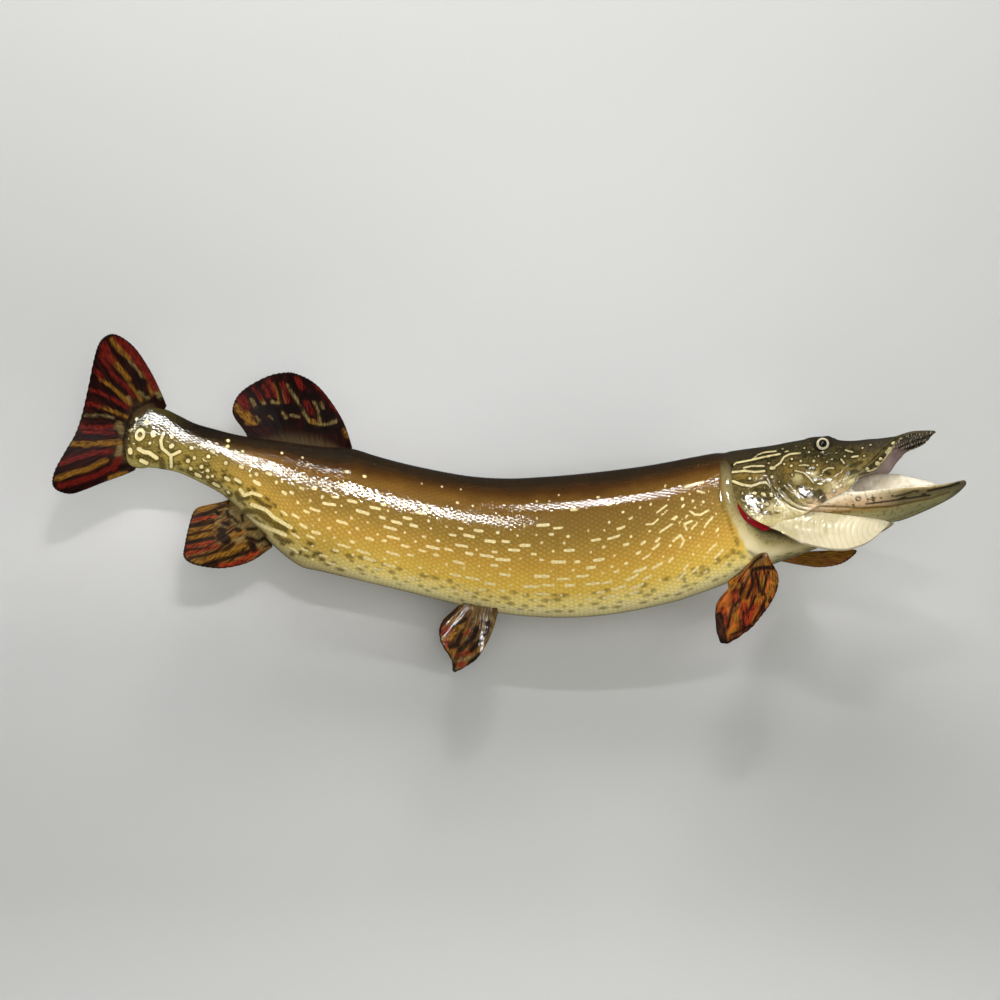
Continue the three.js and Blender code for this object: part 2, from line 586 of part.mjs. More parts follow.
function mesh(name, piece) {
  const { vertProperties, triVerts } = piece.getMesh();
  const geometry = new THREE.BufferGeometry();
  geometry.setAttribute("position", new THREE.BufferAttribute(new Float32Array(vertProperties), 3));
  geometry.setIndex(new THREE.BufferAttribute(new Uint32Array(triVerts), 1));
  geometry.computeVertexNormals();
  const [color, roughness, metalness] = FINISH[FINISH_OF.find(([rule]) => rule.test(name))[1]];
  const made = new THREE.Mesh(geometry, new THREE.MeshStandardMaterial({ color, roughness, metalness }));
  made.name = name;
  return made;
}

const group = new THREE.Group();
group.name = "mounted_pike";
for (const [name, piece] of Object.entries(pieces)) group.add(mesh(name, piece));

export default group;
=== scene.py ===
"""The finish of a mounted northern pike, as a Blender add-on that is run as a script.

The fish is worked out in body coordinates, in millimetres: s runs along the bent spine from the
gill slit, + toward the snout; l is sideways, + toward the fish's right; h is upward. place() turns
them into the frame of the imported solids, and every mesh is written in metres.
"""
import math
from typing import NamedTuple

import bpy
import numpy as np
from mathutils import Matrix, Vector


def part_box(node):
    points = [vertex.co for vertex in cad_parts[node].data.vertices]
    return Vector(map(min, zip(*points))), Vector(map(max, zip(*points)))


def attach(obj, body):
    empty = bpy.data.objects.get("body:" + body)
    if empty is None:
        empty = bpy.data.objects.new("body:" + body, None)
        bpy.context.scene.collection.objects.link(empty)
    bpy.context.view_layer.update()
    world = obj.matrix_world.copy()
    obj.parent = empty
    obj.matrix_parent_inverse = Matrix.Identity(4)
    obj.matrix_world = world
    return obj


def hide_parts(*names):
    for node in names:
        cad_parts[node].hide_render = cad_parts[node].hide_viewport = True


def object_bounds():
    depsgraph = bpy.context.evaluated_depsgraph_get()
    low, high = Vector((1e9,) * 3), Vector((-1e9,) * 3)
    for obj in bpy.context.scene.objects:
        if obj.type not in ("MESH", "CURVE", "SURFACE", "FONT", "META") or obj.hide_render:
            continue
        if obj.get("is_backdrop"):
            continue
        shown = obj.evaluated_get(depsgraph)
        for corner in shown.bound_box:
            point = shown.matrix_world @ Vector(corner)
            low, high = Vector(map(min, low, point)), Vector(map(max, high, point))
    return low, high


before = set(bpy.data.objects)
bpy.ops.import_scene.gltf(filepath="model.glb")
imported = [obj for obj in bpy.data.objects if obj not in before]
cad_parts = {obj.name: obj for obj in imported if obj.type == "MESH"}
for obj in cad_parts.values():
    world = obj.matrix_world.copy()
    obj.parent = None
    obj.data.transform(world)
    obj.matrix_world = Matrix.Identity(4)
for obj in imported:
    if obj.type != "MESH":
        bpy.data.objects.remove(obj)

bl_info = {
    "name": "Mounted pike",
    "version": (1, 0, 0),
    "blender": (4, 5, 0),
    "location": "3D View > Sidebar > Pike",
    "description": "Skin, scales, eyes, mouth, gills and fins of a mounted pike round its packed solids",
    "category": "Object",
}

CAD_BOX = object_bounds()
MM = 0.001
BODY = "root"
SEED = 11
SIDES = (("right", 1), ("left", -1))

# ---------------------------------------------------------------- spine and trunk, in millimetres
GILL_SLIT = (202.6, -97.0, 36.5)
SPINE_FROM, SPINE_TO = -760, 262
PITCH = [ # rows of s and degrees, as are the next two tables
    (-760, -13), (-640, -17), (-540, -19), (-420, -14), (-300, -8.5),
    (-205, 0), (-110, 9), (-40, 12), (20, 11.5), (270, 11.5),
]
YAW = [
    (-760, -17), (-600, -14), (-450, -9), (-300, -2.5), (-200, 2),
    (-100, 8), (-20, 15), (40, 21), (80, 23), (270, 23),
]
ROLL = [(-760, 0), (-60, 0), (0, 1), (60, 4), (270, 4)]

# Rows of s and of the heights or the half-width there. Past the gill slit they go on as the
# throat, under the head.
BACK = [
    (-656, 16), (-652, 28), (-641, 41), (-626, 45.2), (-612, 43.7), (-594, 41.1), (-577, 41.6),
    (-546, 44.5), (-504, 52.6), (-460, 60), (-425, 66), (-398, 64.7), (-370, 63.5), (-329, 62.6),
    (-288, 62.3), (-246, 64.1), (-203, 67), (-160, 68.6), (-117, 68.4), (-76, 67), (-24, 65.9),
    (0, 64.2), (8, 60.5), (14, 50), (20, 24), (26, 0), (32, -16), (40, -23), (50, -28), (70, -31),
    (95, -33), (125, -38), (152, -41),
]
BELLY = [
    (-656, 4), (-652, -9), (-643, -20), (-632, -20.8), (-622, -16.7), (-602, -13.4), (-591, -12.6),
    (-569, -14.8), (-545, -18.8), (-530, -24.3), (-501, -38.9), (-475, -54.7), (-446, -66.7),
    (-426, -66.6), (-395, -66.5), (-344, -68.2), (-303, -71.5), (-245, -78.2), (-207, -80.9),
    (-170, -82), (-133, -81.4), (-94, -79.1), (-74, -77.6), (-23, -69.7), (14, -62), (22, -60.8),
    (30, -59.6), (40, -58), (50, -56.6), (70, -53.6), (95, -49.6), (125, -46), (152, -43.6),
]
FLANK = [
    (-656, 1.2), (-640, 3.4), (-620, 6.6), (-600, 10.2), (-560, 15.5), (-500, 25), (-440, 35), (-380, 41),
    (-300, 45.5), (-205, 47.5), (-100, 47), (-50, 45), (0, 41.5), (14, 40), (22, 38), (30, 35.5),
    (40, 31), (50, 26), (70, 18.5), (95, 12), (125, 8), (152, 4),
]
OVAL_POWER = 0.88
# Rows of h and of the s at which the scales end.
COLLAR = [(-62, 11), (-45, 11.5), (-37, 10), (-12, 4), (10, -1.5), (38, -0.5), (51, 1), (64, 4)]

# ---------------------------------------------------------------- head, in millimetres
HEAD_TIP = 217.5
MOUTH_BACK = 84
CROWN = [
    (-20, 65.6), (0, 64.3), (26, 62.7), (51, 60.7), (76, 60), (101, 58.3), (113, 54.8),
    (125, 50.2), (137, 47.4), (152, 45.8), (160, 44.6), (168, 43.8), (174, 43), (181, 41.5),
    (190, 40.3), (198, 40.7), (203, 40.9), (208, 41.1), (213, 41), (217.5, 40.4),
]
CHEEK = [
    (-20, 43), (0, 41.5), (30, 41), (60, 41.5), (84, 41), (110, 37.5), (129, 34.5), (143, 31.5),
    (154, 29.5), (173, 26), (190, 23), (198, 20.5), (203, 17), (208, 12.5), (213, 8), (217.5, 3.5),
]
COVER_FLARE = [(0, 11), (12, 11), (22, 11), (33, 10), (45, 7.6), (58, 4.4), (70, 2.4), (84, 1), (100, 0)]
HOOD_RIM = [
    (0, -25.5), (44, -25.5), (62, -24), (81, -20.5), (95, -15.5), (110, -9.5), (122, -6.5),
    (129, -3.4), (136, 3), (143, 6.9), (154, 8.6), (160, 12.2), (168, 19.2), (174, 24.6),
    (181, 30.6), (190, 34.1), (198, 35.5), (203, 36.2), (208, 37.6), (213, 38.8), (217.5, 39.2),
]
COVER_EDGE = [ # s of the rear edge of the head against h
    (-25.5, 44), (-17, 33), (-8, 23.4), (4.5, 16), (14, 12.6), (26, 11.8), (38, 12.6), (48, 15),
    (54, 8), (60, -3), (66, -14),
]
PALATE = [
    (84, -13.7), (100, 0), (115, 10), (129, 18), (150, 26), (170, 31.5), (181, 34), (190, 35.8),
    (198, 37), (203, 37.6), (208, 38.6), (213, 39.2), (217.5, 39.6),
]
SNOUT_TILT = [ # how far the snout's right side stands up, for each millimetre of l
    (150, 0), (160, -0.01), (168, -0.02), (174, 0.015), (181, 0.08), (190, 0.18), (198, 0.2),
    (203, 0.2), (208, 0.175), (213, 0.125), (217.5, 0.06),
]
JAW_FROM, JAW_TIP = 80, 237
JAW_RIM = [
    (80, -15), (84, -14.4), (110, -8.7), (122, -6.7), (143, -8.7), (158, -9.9), (171, -11.4),
    (189, -12.8), (205, -14.6), (217, -15.6), (227, -15.4), (237, -14.4),
]
JAW_FLOOR = [
    (80, -15.6), (84, -15.2), (100, -17.5), (140, -19), (170, -20.5), (200, -21), (220, -20),
    (230, -17.4), (237, -14.6),
]
CHIN = [
    (80, -22), (84, -23), (100, -31), (120, -37.5), (150, -40.5), (168, -41), (196, -35.7),
    (220, -29), (231, -23.6), (237, -19.4),
]
JAW_WIDTH = [
    (80, 40.8), (84, 40.6), (110, 37.2), (129, 33.5), (143, 30.6), (158, 28.2), (171, 26.2),
    (189, 23), (205, 19.4), (217, 15.6), (226, 12), (233, 8.4), (237, 4),
]
LIP, LIP_SHARE = 4, 0.3 # the lip's width, and its greatest share of the half-width
TONGUE = [ # s, height and half-width
    (100, -2, 7), (108, 2.5, 10), (120, 6.5, 12), (143, 10, 13.5), (155, 9.4, 13), (172, 6, 12),
    (185, 0.4, 10.5), (197, -5.2, 8.5), (205, -9.5, 6), (209, -12.6, 2.5),
]
TONGUE_UNDERSIDE = -16
MEMBRANE_ROOT = [ # this line and the next ones are rows of s, l, h
    (45, 48.2, -26), (62, 45, -23), (81, 40, -20.2), (100, 35, -24), (118, 29, -28), (134, 23, -32),
    (146, 17, -36), (158, 9, -41.8),
]
MEMBRANE_EDGE = [
    (44.2, 48.4, -26.6), (54.6, 47, -33.4), (70, 44, -46.3), (88, 41, -56), (105, 37, -62.3),
    (121, 31.5, -63.5), (139, 21.5, -57.6), (158.6, 9.4, -42.6),
]
MEMBRANE_TUCK = 0.5 # share of its depth that the membrane on the wall side hangs down
GILL_REAR = [(14, 43.6, 14), (13, 45, 2), (16.5, 45, -9), (24.5, 43.5, -18.5), (36, 40, -27)]
GILL_FRONT = [(34, 42, 18), (36, 43, 4), (42, 42.4, -7), (50, 40.4, -16), (58, 37, -24)]
MOUTH_CORNER_UPPER = [(118, 34, -7), (126, 32.6, -4.4), (133, 31, 0.6), (139, 29.6, 4.6)]
MOUTH_CORNER_LOWER = [(118, 34, -8), (125, 32.8, -8), (131, 31.6, -8.4), (135, 30.8, -8.8)]
EYE = {"s": 108.5, "side": 24.6, "h": 46.4, "radius": 9.2}

# ---------------------------------------------------------------- fins, rows of s, l, h
CAUDAL_ROOT = [
    (-627, 0, 40), (-636, 0, 34), (-644, 0, 25), (-648, 0, 13), (-648, 0, 1), (-643, 0, -9),
    (-635, 0, -15),
]
CAUDAL_MARGIN = [
    (-625, 0, 49), (-636, 1, 62.6), (-651, 2, 79), (-669, 3, 95), (-683, 3, 102.3),
    (-695, 3, 103.8), (-702.5, 2, 98), (-706, 1, 88), (-706, 0, 70), (-704, -2, 41),
    (-703, -3, 15), (-704.5, -2, -6), (-710, 0, -26), (-715, 2, -46), (-714.3, 3, -60),
    (-707, 3, -66), (-693, 2, -65.8), (-679.5, 1, -57.8), (-662, 0, -44.4), (-645, 0, -31.7),
    (-636, 0, -24),
]
DORSAL_ROOT = [(-424, 0, 58), (-450, 0, 54), (-480, 0, 49), (-510, 0, 43), (-535, 0, 38)]
DORSAL_MARGIN = [
    (-425.5, 0, 68), (-439.5, 1, 88.4), (-456, 2, 103.8), (-476, 3, 117), (-492.6, 3, 123.2),
    (-508.8, 2, 125), (-520, 0, 123.5), (-536.6, -3, 114.6), (-553, -5, 97.7), (-561, -5, 83.7),
    (-562, -3, 70.2), (-558, -2, 61.7), (-546, -1, 53.4), (-537, 0, 48),
]
ANAL_ROOT = [(-479, 0, -44), (-495, 0, -34), (-510, 0, -26), (-522, 0, -20), (-532, 0, -16)]
ANAL_MARGIN = [
    (-478, 0, -56), (-494.7, 2, -77), (-516, 4, -91), (-535, 6, -96.4), (-551, 6, -97.4),
    (-560, 5, -92.8), (-562.5, 3, -81), (-564.5, 0, -65), (-565, -2, -47.5), (-560, -2, -39.2),
    (-546.3, -1, -32.3), (-533, 0, -27),
]
PELVIC_ROOT = [(-249, 19, -66), (-258, 18, -66), (-267, 17, -66), (-276, 16, -65)]
PELVIC_MARGIN = [
    (-247, 24, -75.9), (-250.3, 30, -94.6), (-255.5, 35, -110.4), (-261.7, 38, -123.3),
    (-268.2, 40, -131), (-281.4, 42, -141), (-285, 38, -129.4), (-297.9, 34, -110.8),
    (-297, 28, -95.4), (-287.3, 24, -80.5),
]
PECTORAL_ROOT = [(31, 29, -47), (26, 29, -48), (21, 28, -50), (17, 27, -51)]
PECTORAL_MARGIN = [
    (34.9, 33, -60.4), (41.5, 38, -73.8), (39.6, 44, -88.6), (31.4, 50, -101.4), (18.5, 55, -111.4),
    (-1, 58, -121.8), (-34, 56, -127.4), (-34.2, 44, -91.8), (-18, 38, -76), (-15, 35, -68),
    (12, 30, -58),
]
FAR_PECTORAL_MARGIN = [
    (38, -44, -49), (60, -64, -50), (82, -78, -51.5), (98, -88, -54), (90, -88, -61),
    (78, -84, -66), (60, -74, -66), (45, -58, -62), (30, -42, -56),
]


# ---------------------------------------------------------------- small formulas
def curve(rows, x):
    """Column values of a table at x: cubic pieces through its rows, level past its ends.

    The slope at a row is that of the line between its two neighbours.
    """
    table = np.asarray(rows, float)
    at, values = table[:, 0], table[:, 1:]
    last = len(at) - 1
    before = np.maximum(np.arange(last + 1) - 1, 0)
    after = np.minimum(np.arange(last + 1) + 1, last)
    slope = (values[after] - values[before]) / (at[after] - at[before])[:, None]
    x = np.clip(np.asarray(x, float), at[0], at[-1])
    i = np.clip(np.searchsorted(at, x, side="right") - 1, 0, last - 1)
    span = (at[i + 1] - at[i])[..., None]
    u = (x - at[i])[..., None] / span
    eased = u * u * (3 - 2 * u)
    rise = u * (u - 1) ** 2 * span * slope[i]
    fall = u * u * (u - 1) * span * slope[i + 1]
    out = values[i] * (1 - eased) + values[i + 1] * eased + rise + fall
    return out[..., 0] if out.shape[-1] == 1 else out


def along(rows, u):
    """A point on a line of s, l, h rows, by the share u of its rows, from 0 to 1."""
    shares = np.linspace(0, 1, len(rows))[:, None]
    return curve(np.hstack([shares, np.asarray(rows, float)]), u)


def ease(low, high, x):
    """0 below low, 1 above high and a smooth cubic between them; low may be the greater."""
    u = np.clip((np.asarray(x, float) - low) / (high - low), 0, 1)
    return u * u * (3 - 2 * u)


def bell(x, width):
    """A bump of height 1 at 0 that falls away as exp(-(x / width)^2)."""
    return np.exp(-((x / width) ** 2))


def squared(value, power):
    """A power that keeps its sign, for rounded-square ovals."""
    return np.sign(value) * np.abs(value) ** power


def sided(rows, side):
    """Rows of s, l, h with l on the right side for 1 and on the left for -1."""
    return [(s, side * l, h) for s, l, h in rows]


def part_way(first, second, share):
    """Rows part of the way from one line to another."""
    return [tuple(np.add(a, share * np.subtract(b, a))) for a, b in zip(first, second)]


def even(counts):
    """Even shares from 0 to 1, along the rows and along the columns of a grid."""
    rows, columns = counts
    return np.meshgrid(np.linspace(0, 1, rows), np.linspace(0, 1, columns), indexing="ij")


def between(first, second, u, v):
    """s, l, h at share u along both lines, and share v of the way from the first to the second."""
    near, far = along(first, u), along(second, u)
    return np.moveaxis(near + (far - near) * v[..., None], -1, 0)


def gap_to(path, x, y):
    """Least distance from each point to a path of straight stretches in its plane."""
    path = np.atleast_2d(np.asarray(path, float))
    best = np.hypot(x - path[0, 0], y - path[0, 1])
    for (ax, ay), (bx, by) in zip(path[:-1], path[1:]):
        dx, dy = bx - ax, by - ay
        t = np.clip(((x - ax) * dx + (y - ay) * dy) / (dx * dx + dy * dy), 0, 1)
        best = np.minimum(best, np.hypot(x - ax - t * dx, y - ay - t * dy))
    return best


def linear(code):
    """A colour code such as "#7a6a32" as the linear numbers that shaders take."""
    shares = [int(code[i:i + 2], 16) / 255 for i in (1, 3, 5)]
    return tuple(c / 12.92 if c <= 0.04045 else ((c + 0.055) / 1.055) ** 2.4 for c in shares)


# ---------------------------------------------------------------- the bent body
def axes(s):
    """Forward, right and up directions of the body at s, from its pitch, yaw and roll."""
    pitch, yaw, roll = (np.radians(curve(rows, s)) for rows in (PITCH, YAW, ROLL))
    cp, sp, cy, sy = np.cos(pitch), np.sin(pitch), np.cos(yaw), np.sin(yaw)
    cr, sr = np.cos(roll)[..., None], np.sin(roll)[..., None]
    forward = np.stack([cp * cy, -cp * sy, sp], -1)
    level = np.stack([-sy, -cy, 0 * sy], -1)
    upright = np.stack([-sp * cy, sp * sy, cp], -1)
    return forward, level * cr + upright * sr, upright * cr - level * sr


SPINE_AT = np.arange(SPINE_FROM, SPINE_TO + 1)
SPINE_LINE = np.vstack([np.zeros(3), np.cumsum(axes(SPINE_AT[:-1] + 0.5)[0], 0)])
SPINE_LINE += np.array(GILL_SLIT) - SPINE_LINE[-SPINE_FROM]


def place(s, l, h):
    """World point, in millimetres: the spine at s, plus l along its right and h along its up."""
    s, l, h = np.broadcast_arrays(*(np.asarray(v, float) for v in (s, l, h)))
    _, right, up = axes(s)
    on_spine = np.stack([np.interp(s, SPINE_AT, SPINE_LINE[:, k]) for k in range(3)], -1)
    return on_spine + right * l[..., None] + up * h[..., None]


def oval(s, turn, lift=0.0):
    """l and h on the trunk's section: turn is 0 at the back's midline, a quarter at the right flank.

    A slightly squared ellipse, grown outward by lift.
    """
    top, bottom, half = curve(BACK, s) + lift, curve(BELLY, s) - lift, curve(FLANK, s) + lift
    middle, high = (top + bottom) / 2, (top - bottom) / 2
    l = half * squared(np.sin(turn), OVAL_POWER)
    return l, middle + high * squared(np.cos(turn), OVAL_POWER)


class Girth:
    """Even shares of the way round the trunk, measured along each section's outline."""

    stations = np.linspace(BACK[0][0], BACK[-1][0], 203)
    shares = np.linspace(0, 1, 241)
    outline = 721 # points by which a section is measured

    def __init__(self):
        turn = np.linspace(0, 2 * np.pi, self.outline)
        l, h = oval(self.stations[:, None], turn[None])
        run = np.cumsum(np.hypot(np.diff(l), np.diff(h)), 1)
        run = np.hstack([np.zeros((len(run), 1)), run])
        self.length = run[:, -1]
        self.turns = np.array([np.interp(self.shares, r / r[-1], turn) for r in run])

    def turn(self, s, share):
        """The oval's turn at a share of the way round, read between the rows of the table."""
        step = self.stations[1] - self.stations[0]
        i = np.clip((s - self.stations[0]) / step, 0, len(self.stations) - 1.001)
        j = np.mod(share, 1) * (len(self.shares) - 1)
        i0, j0 = i.astype(int), np.minimum(j.astype(int), len(self.shares) - 2)
        fi, fj = i - i0, j - j0
        low = self.turns[i0, j0] * (1 - fj) + self.turns[i0, j0 + 1] * fj
        high = self.turns[i0 + 1, j0] * (1 - fj) + self.turns[i0 + 1, j0 + 1] * fj
        return low * (1 - fi) + high * fi

    def at(self, s):
        """Length of the way round at s."""
        return np.interp(s, self.stations, self.length)


GIRTH = Girth()


def hide(s, share, lift=0.0):
    """l and h on the trunk at a share of the way round from the back, over the right side."""
    return oval(s, GIRTH.turn(s, share), lift)


# ---------------------------------------------------------------- markings, as signed depths
# A stroke is its half-width and its path in s and h. A depth is how far inside the nearest stroke
# a point lies, in millimetres, and is negative outside.
HEAD_PALE = [
    (0.9, [(35, 46.6), (40, 51.2), (47, 52.6), (60, 50.9)]),
    (1.1, [(14, 45.5), (18, 47.7), (35, 46.6), (48, 46.9), (65, 46.5)]),
    (1.0, [(26, 40.2), (35, 40), (48, 36.9)]), (1.2, [(12, 39.2), (28, 36.5), (38, 32.8), (48, 31.6)]),
    (1.4, [(13, 29.4), (23, 23), (33, 19.1), (42, 20.2), (48, 19.7)]),
    (1.0, [(48, 19.7), (52, 14.7), (55, 8.6), (60, 3.6)]), (1.1, [(21, 6.7), (31, 4), (41, -0.5)]),
    (1.1, [(28, -2.5), (37, -5.8)]), (1.1, [(60, 34.2), (65, 36.6), (69, 42.1), (75, 44), (86, 42.8)]),
    (0.9, [(84, 29.3), (89, 29.1), (94, 27.2)]), (1.0, [(106, 17.2), (108, 20), (113, 21), (118, 20)]),
    (0.9, [(126, 28), (129, 22.2)]), (0.9, [(79, 25), (88, 20.8), (93, 14.4), (96, 8.9)]),
    (0.9, [(131, 36.6), (138, 32.9)]), (2.4, [(46, -2.7)]), (1.6, [(22, 14.6)]), (1.7, [(31, 9.1)]),
    (1.6, [(34, 11.6), (36, 10.9)]), (1.9, [(43, 8.5), (45, 7.1)]), (1.6, [(52, 6.5), (52, 4.5)]),
    (1.2, [(46, 14.1)]), (1.6, [(32, 27.8)]), (1.7, [(55, 23.7)]), (1.8, [(55, 33.2), (58, 32.5)]),
    (1.2, [(53, 38.9)]), (1.7, [(76, 30.9)]), (1.4, [(69, 34.5)]), (1.4, [(76, 21.3)]), (1.4, [(86, 34)]),
    (1.6, [(99, 31.3)]), (1.3, [(77, 38.2)]), (1.3, [(102, 26.4)]), (1.2, [(112, 27.7)]),
    (1.2, [(90, 47.6)]), (1.2, [(67, 51.9)]), (1.2, [(95, 41.9)]), (1.1, [(104, 35.8)]),
    (1.2, [(117, 29.6)]), (1.2, [(109, 38)]), (1.0, [(122, 35.4)]), (1.2, [(130, 30.2)]),
    (1.2, [(67, 11.6)]), (1.2, [(62, 16.9)]), (1.3, [(56, -4.9)]), (1.2, [(40, -10.7)]),
    (1.1, [(48, -12.3)]), (1.0, [(137, 27.9), (143, 27.6)]), (1.2, [(149, 26.5)]), (1.5, [(115, -3)]),
    (1.4, [(101, -6.6)]), (1.0, [(70, 47.5), (73, 48)]), (2.0, [(179, 33.8)]), (1.6, [(175, 28.8)]),
    (2.2, [(172, 25.6)]), (1.7, [(164.5, 20.2)]), (2.2, [(160.5, 16.4)]), (1.9, [(150, 12.8)]),
    (1.2, [(148, 35.4)]), (1.2, [(156, 37)]), (1.3, [(187, 36.6)]),
    (0.8, [
        (138, 5), (144, 7.8), (151, 9.8), (159, 11.8), (169, 19.8), (179, 30.2), (186, 35.4), (194, 38),
    ]),
]
HEAD_DARK = [
    (4.2, [(84, -0.2), (92, -1.9)]), (4.4, [(100, -3), (102, -9)]),
    (1.2, [(33, 43.8), (48, 43.4), (64, 43.3)]), (1.2, [(28, 37.6), (48, 34.7)]),
    (1.1, [(21, 28.5), (34, 24.2)]), (1.6, [(36, 15.3), (49, 11)]),
    (1.6, [(20, 10.1), (37, 4.5), (50, 1.7)]), (1.4, [(28, 0.5), (36, -3.4)]), (2.0, [(56, 1.3)]),
    (2.0, [(44, -10.7)]), (2.2, [(54, -13.8)]), (1.4, [(63, -18)]), (2.0, [(84, 8.1), (80, 7.7)]),
    (1.4, [(75, 36.4), (83, 35.7)]), (2.0, [(91, 38.4)]), (2.4, [(98, 37.1), (102, 41.6)]),
    (2.0, [(107, 30.8)]), (2.2, [(114, 34.7)]), (2.0, [(122, 27.7)]), (1.8, [(126, 35.6), (130, 40.2)]),
    (1.6, [(91, 25.6), (99, 21.8)]), (1.8, [(110, 16.6), (113, 15)]), (2.0, [(135, 18.8), (145, 20.9)]),
    (2.2, [(131, 11.3), (139, 12.7)]), (2.4, [(137, 32), (145, 31.4)]), (1.8, [(168, 23.8), (156, 15.2)]),
    (1.6, [(52, 42.6), (60, 44.2)]), (1.6, [(184, 35)]),
]
HEAD_TINTS = { # soft patches of colour: radius and path
    "gold": [
        (11, [(78, 29)]), (7, [(22, 32), (40, 28)]), (8, [(40, -13), (50, -15)]), (9, [(120, 8)]),
        (6, [(145, 26)]), (7, [(104, 24)]),
    ],
    "cream": [
        (8, [(58, -8), (80, -16)]), (6, [(50, -7)]), (5, [(96, 19)]), (5, [(81, 17)]), (7, [(114, 0)]),
        (6, [(36, -18), (60, -22)]), (5, [(130, 3), (138, 6)]),
    ],
    "pink": [(8, [(92, -14), (120, -9)])],
    "murk": [
        (8, [(88, 41), (98, 40), (110, 34), (124, 32), (136, 33)]), (6, [(55, 50), (90, 51)]),
        (6, [(65, 12)]), (4, [(144, 8), (156, 15), (169, 24), (183, 35)]),
    ],
}
TAIL_PALE = [
    (1.7, [(-650, 26.9)]), (2.5, [(-639.5, 25.5), (-639, 27)]), (1.9, [(-653, 13), (-652.5, 15)]),
    (2.3, [(-629.5, 15.5), (-630, 18)]), (1.4, [(-630, 7)]), (2.2, [(-647, -5.6), (-646, -8)]),
    (2.0, [(-633, -12.7), (-627, -13.6)]), (2.0, [(-611, 19.8)]), (2.0, [(-608, 11.6), (-609, 10)]),
    (2.0, [(-639, -2.2), (-633, -3.6), (-628, -2.6), (-619, -5.5)]),
    (1.5, [(-620, 21), (-620.5, 12.6), (-617, 5.7), (-606, 1), (-602, -9.6)]),
    (1.5, [(-606, 1), (-599, 8)]), (2.0, [(-589, 15.3)]), (2.2, [(-588, 1.5)]), (2.0, [(-573, 0.2)]),
    (2.0, [(-570, 12.5)]), (2.0, [(-551, 12)]), (1.1, [(-652, 5)]),
    (1.7, [(-528, -9), (-522, -13.5), (-516, -8.5), (-506, -8.5)]),
    (1.9, [(-512, -20), (-497, -20.5), (-487, -25.5), (-473, -29), (-467, -30.5)]),
    (1.8, [(-512, -33), (-502, -36), (-491, -38), (-480, -38.5), (-470, -39.5)]),
]
TAIL_RING = {"s": -642, "h": 12.4, "radius": 3.6, "half": 1.3, "tall": 1.35} # a pale ring
TAIL_DARK = [
    (2.6, [(-637, -10), (-628, -8.5)]), (3.0, [(-614, -6), (-610, -12)]), (2.6, [(-596, -4)]),
    (3.0, [(-584, -8), (-578, -9)]), (3.0, [(-560, -11), (-551, -12)]), (3.2, [(-536, -17)]),
    (3.0, [(-548, -1)]), (2.6, [(-470, -48)]), (2.6, [(-458, -56)]), (2.4, [(-451, -53)]),
    (2.0, [(-437, -52)]),
]
VENT_DARK = [
    (2.9, [(-515, -27.5), (-503, -25), (-491, -29.5), (-482, -33), (-472, -33.5)]),
    (2.5, [(-479, -42.5), (-472, -45.5), (-465, -45)]), (2.6, [(-530, -14), (-525, -19), (-518, -14.5)]),
    (2.2, [(-513, -12), (-500, -16.5), (-494, -16.5)]), (2.0, [(-503, -32)]),
    (2.0, [(-496, -43), (-489, -46)]),
]
GILL_PALE = [
    (1.1, [(-40, 10.7), (-36, 6.1), (-30, 4.4), (-20, 7.1)]), (1.2, [(-40, 0.3), (-49, -0.9), (-48, -7.5)]),
    (1.2, [(-65, -15.4), (-56, -11), (-53, -16.8), (-58, -23.2)]), (1.8, [(-46, 24.6)]), (1.6, [(-35, 20)]),
    (1.6, [(-24, 16.6)]), (1.2, [(-37, 27.8)]), (1.2, [(-41, 36.1), (-20, 36.8)]),
    (1.1, [(-28, 29.1), (-21, 25.4)]), (0.9, [(-77, 16.3), (-64, 22)]),
    (1.0, [(-90, 6.7), (-83, 5.8), (-76, 9.8)]), (1.1, [(-77, -3.7), (-62, 1.8)]),
]
GILL_DARK = [
    (1.6, [(5, 47), (-1, 36), (-5, 24), (-5, 13), (-3, 2), (-1, -8), (1, -20), (3, -34)]),
    (2.8, [(-4, -40)]), (2.6, [(3, -30)]), (2.6, [(5, -46.8)]), (2.6, [(-22, -44.6)]),
    (2.4, [(-36, -52.2), (-43, -54)]), (2.2, [(-12, -52)]), (2.6, [(-62, -57.3)]), (2.2, [(-50, -52)]),
]
JAW_DARK = [
    (1.3, [(130, -20.2)]), (1.2, [(145, -17)]), (1.4, [(150, -18.9)]), (1.0, [(158, -18.3)]),
    (1.2, [(169, -18.4)]), (0.8, [(172, -19.2), (181, -18.8), (190, -17.5), (194, -18.1)]),
    (0.8, [(175, -22.5), (181, -21.7)]), (0.9, [(197, -22.7), (200, -22.2)]),
    (1.1, [(203, -19.7), (215, -18.9), (224, -18.5), (232, -16.8)]),
    (0.8, [(142, -21.5), (166, -22.8), (185, -23.5), (204, -24)]),
]
JAW_RINGS = [(136, -15, 2.2), (150, -17.5, 1.6)] # s, h and radius of dark rings
OUTSIDE = -8.0 # the depth given to points far from any stroke


def stroke_depth(strokes, s, h):
    """The greatest of half-width less distance over the strokes."""
    depth = np.full(np.shape(s), OUTSIDE)
    for half, path in strokes:
        depth = np.maximum(depth, half - gap_to(path, s, h))
    return depth


def tint(rows, s, h):
    """How far a point is into soft patches: 1 on the path of one, fading over its radius."""
    share = np.zeros(np.shape(s))
    for radius, path in rows:
        share = np.maximum(share, bell(gap_to(path, s, h), radius))
    return share


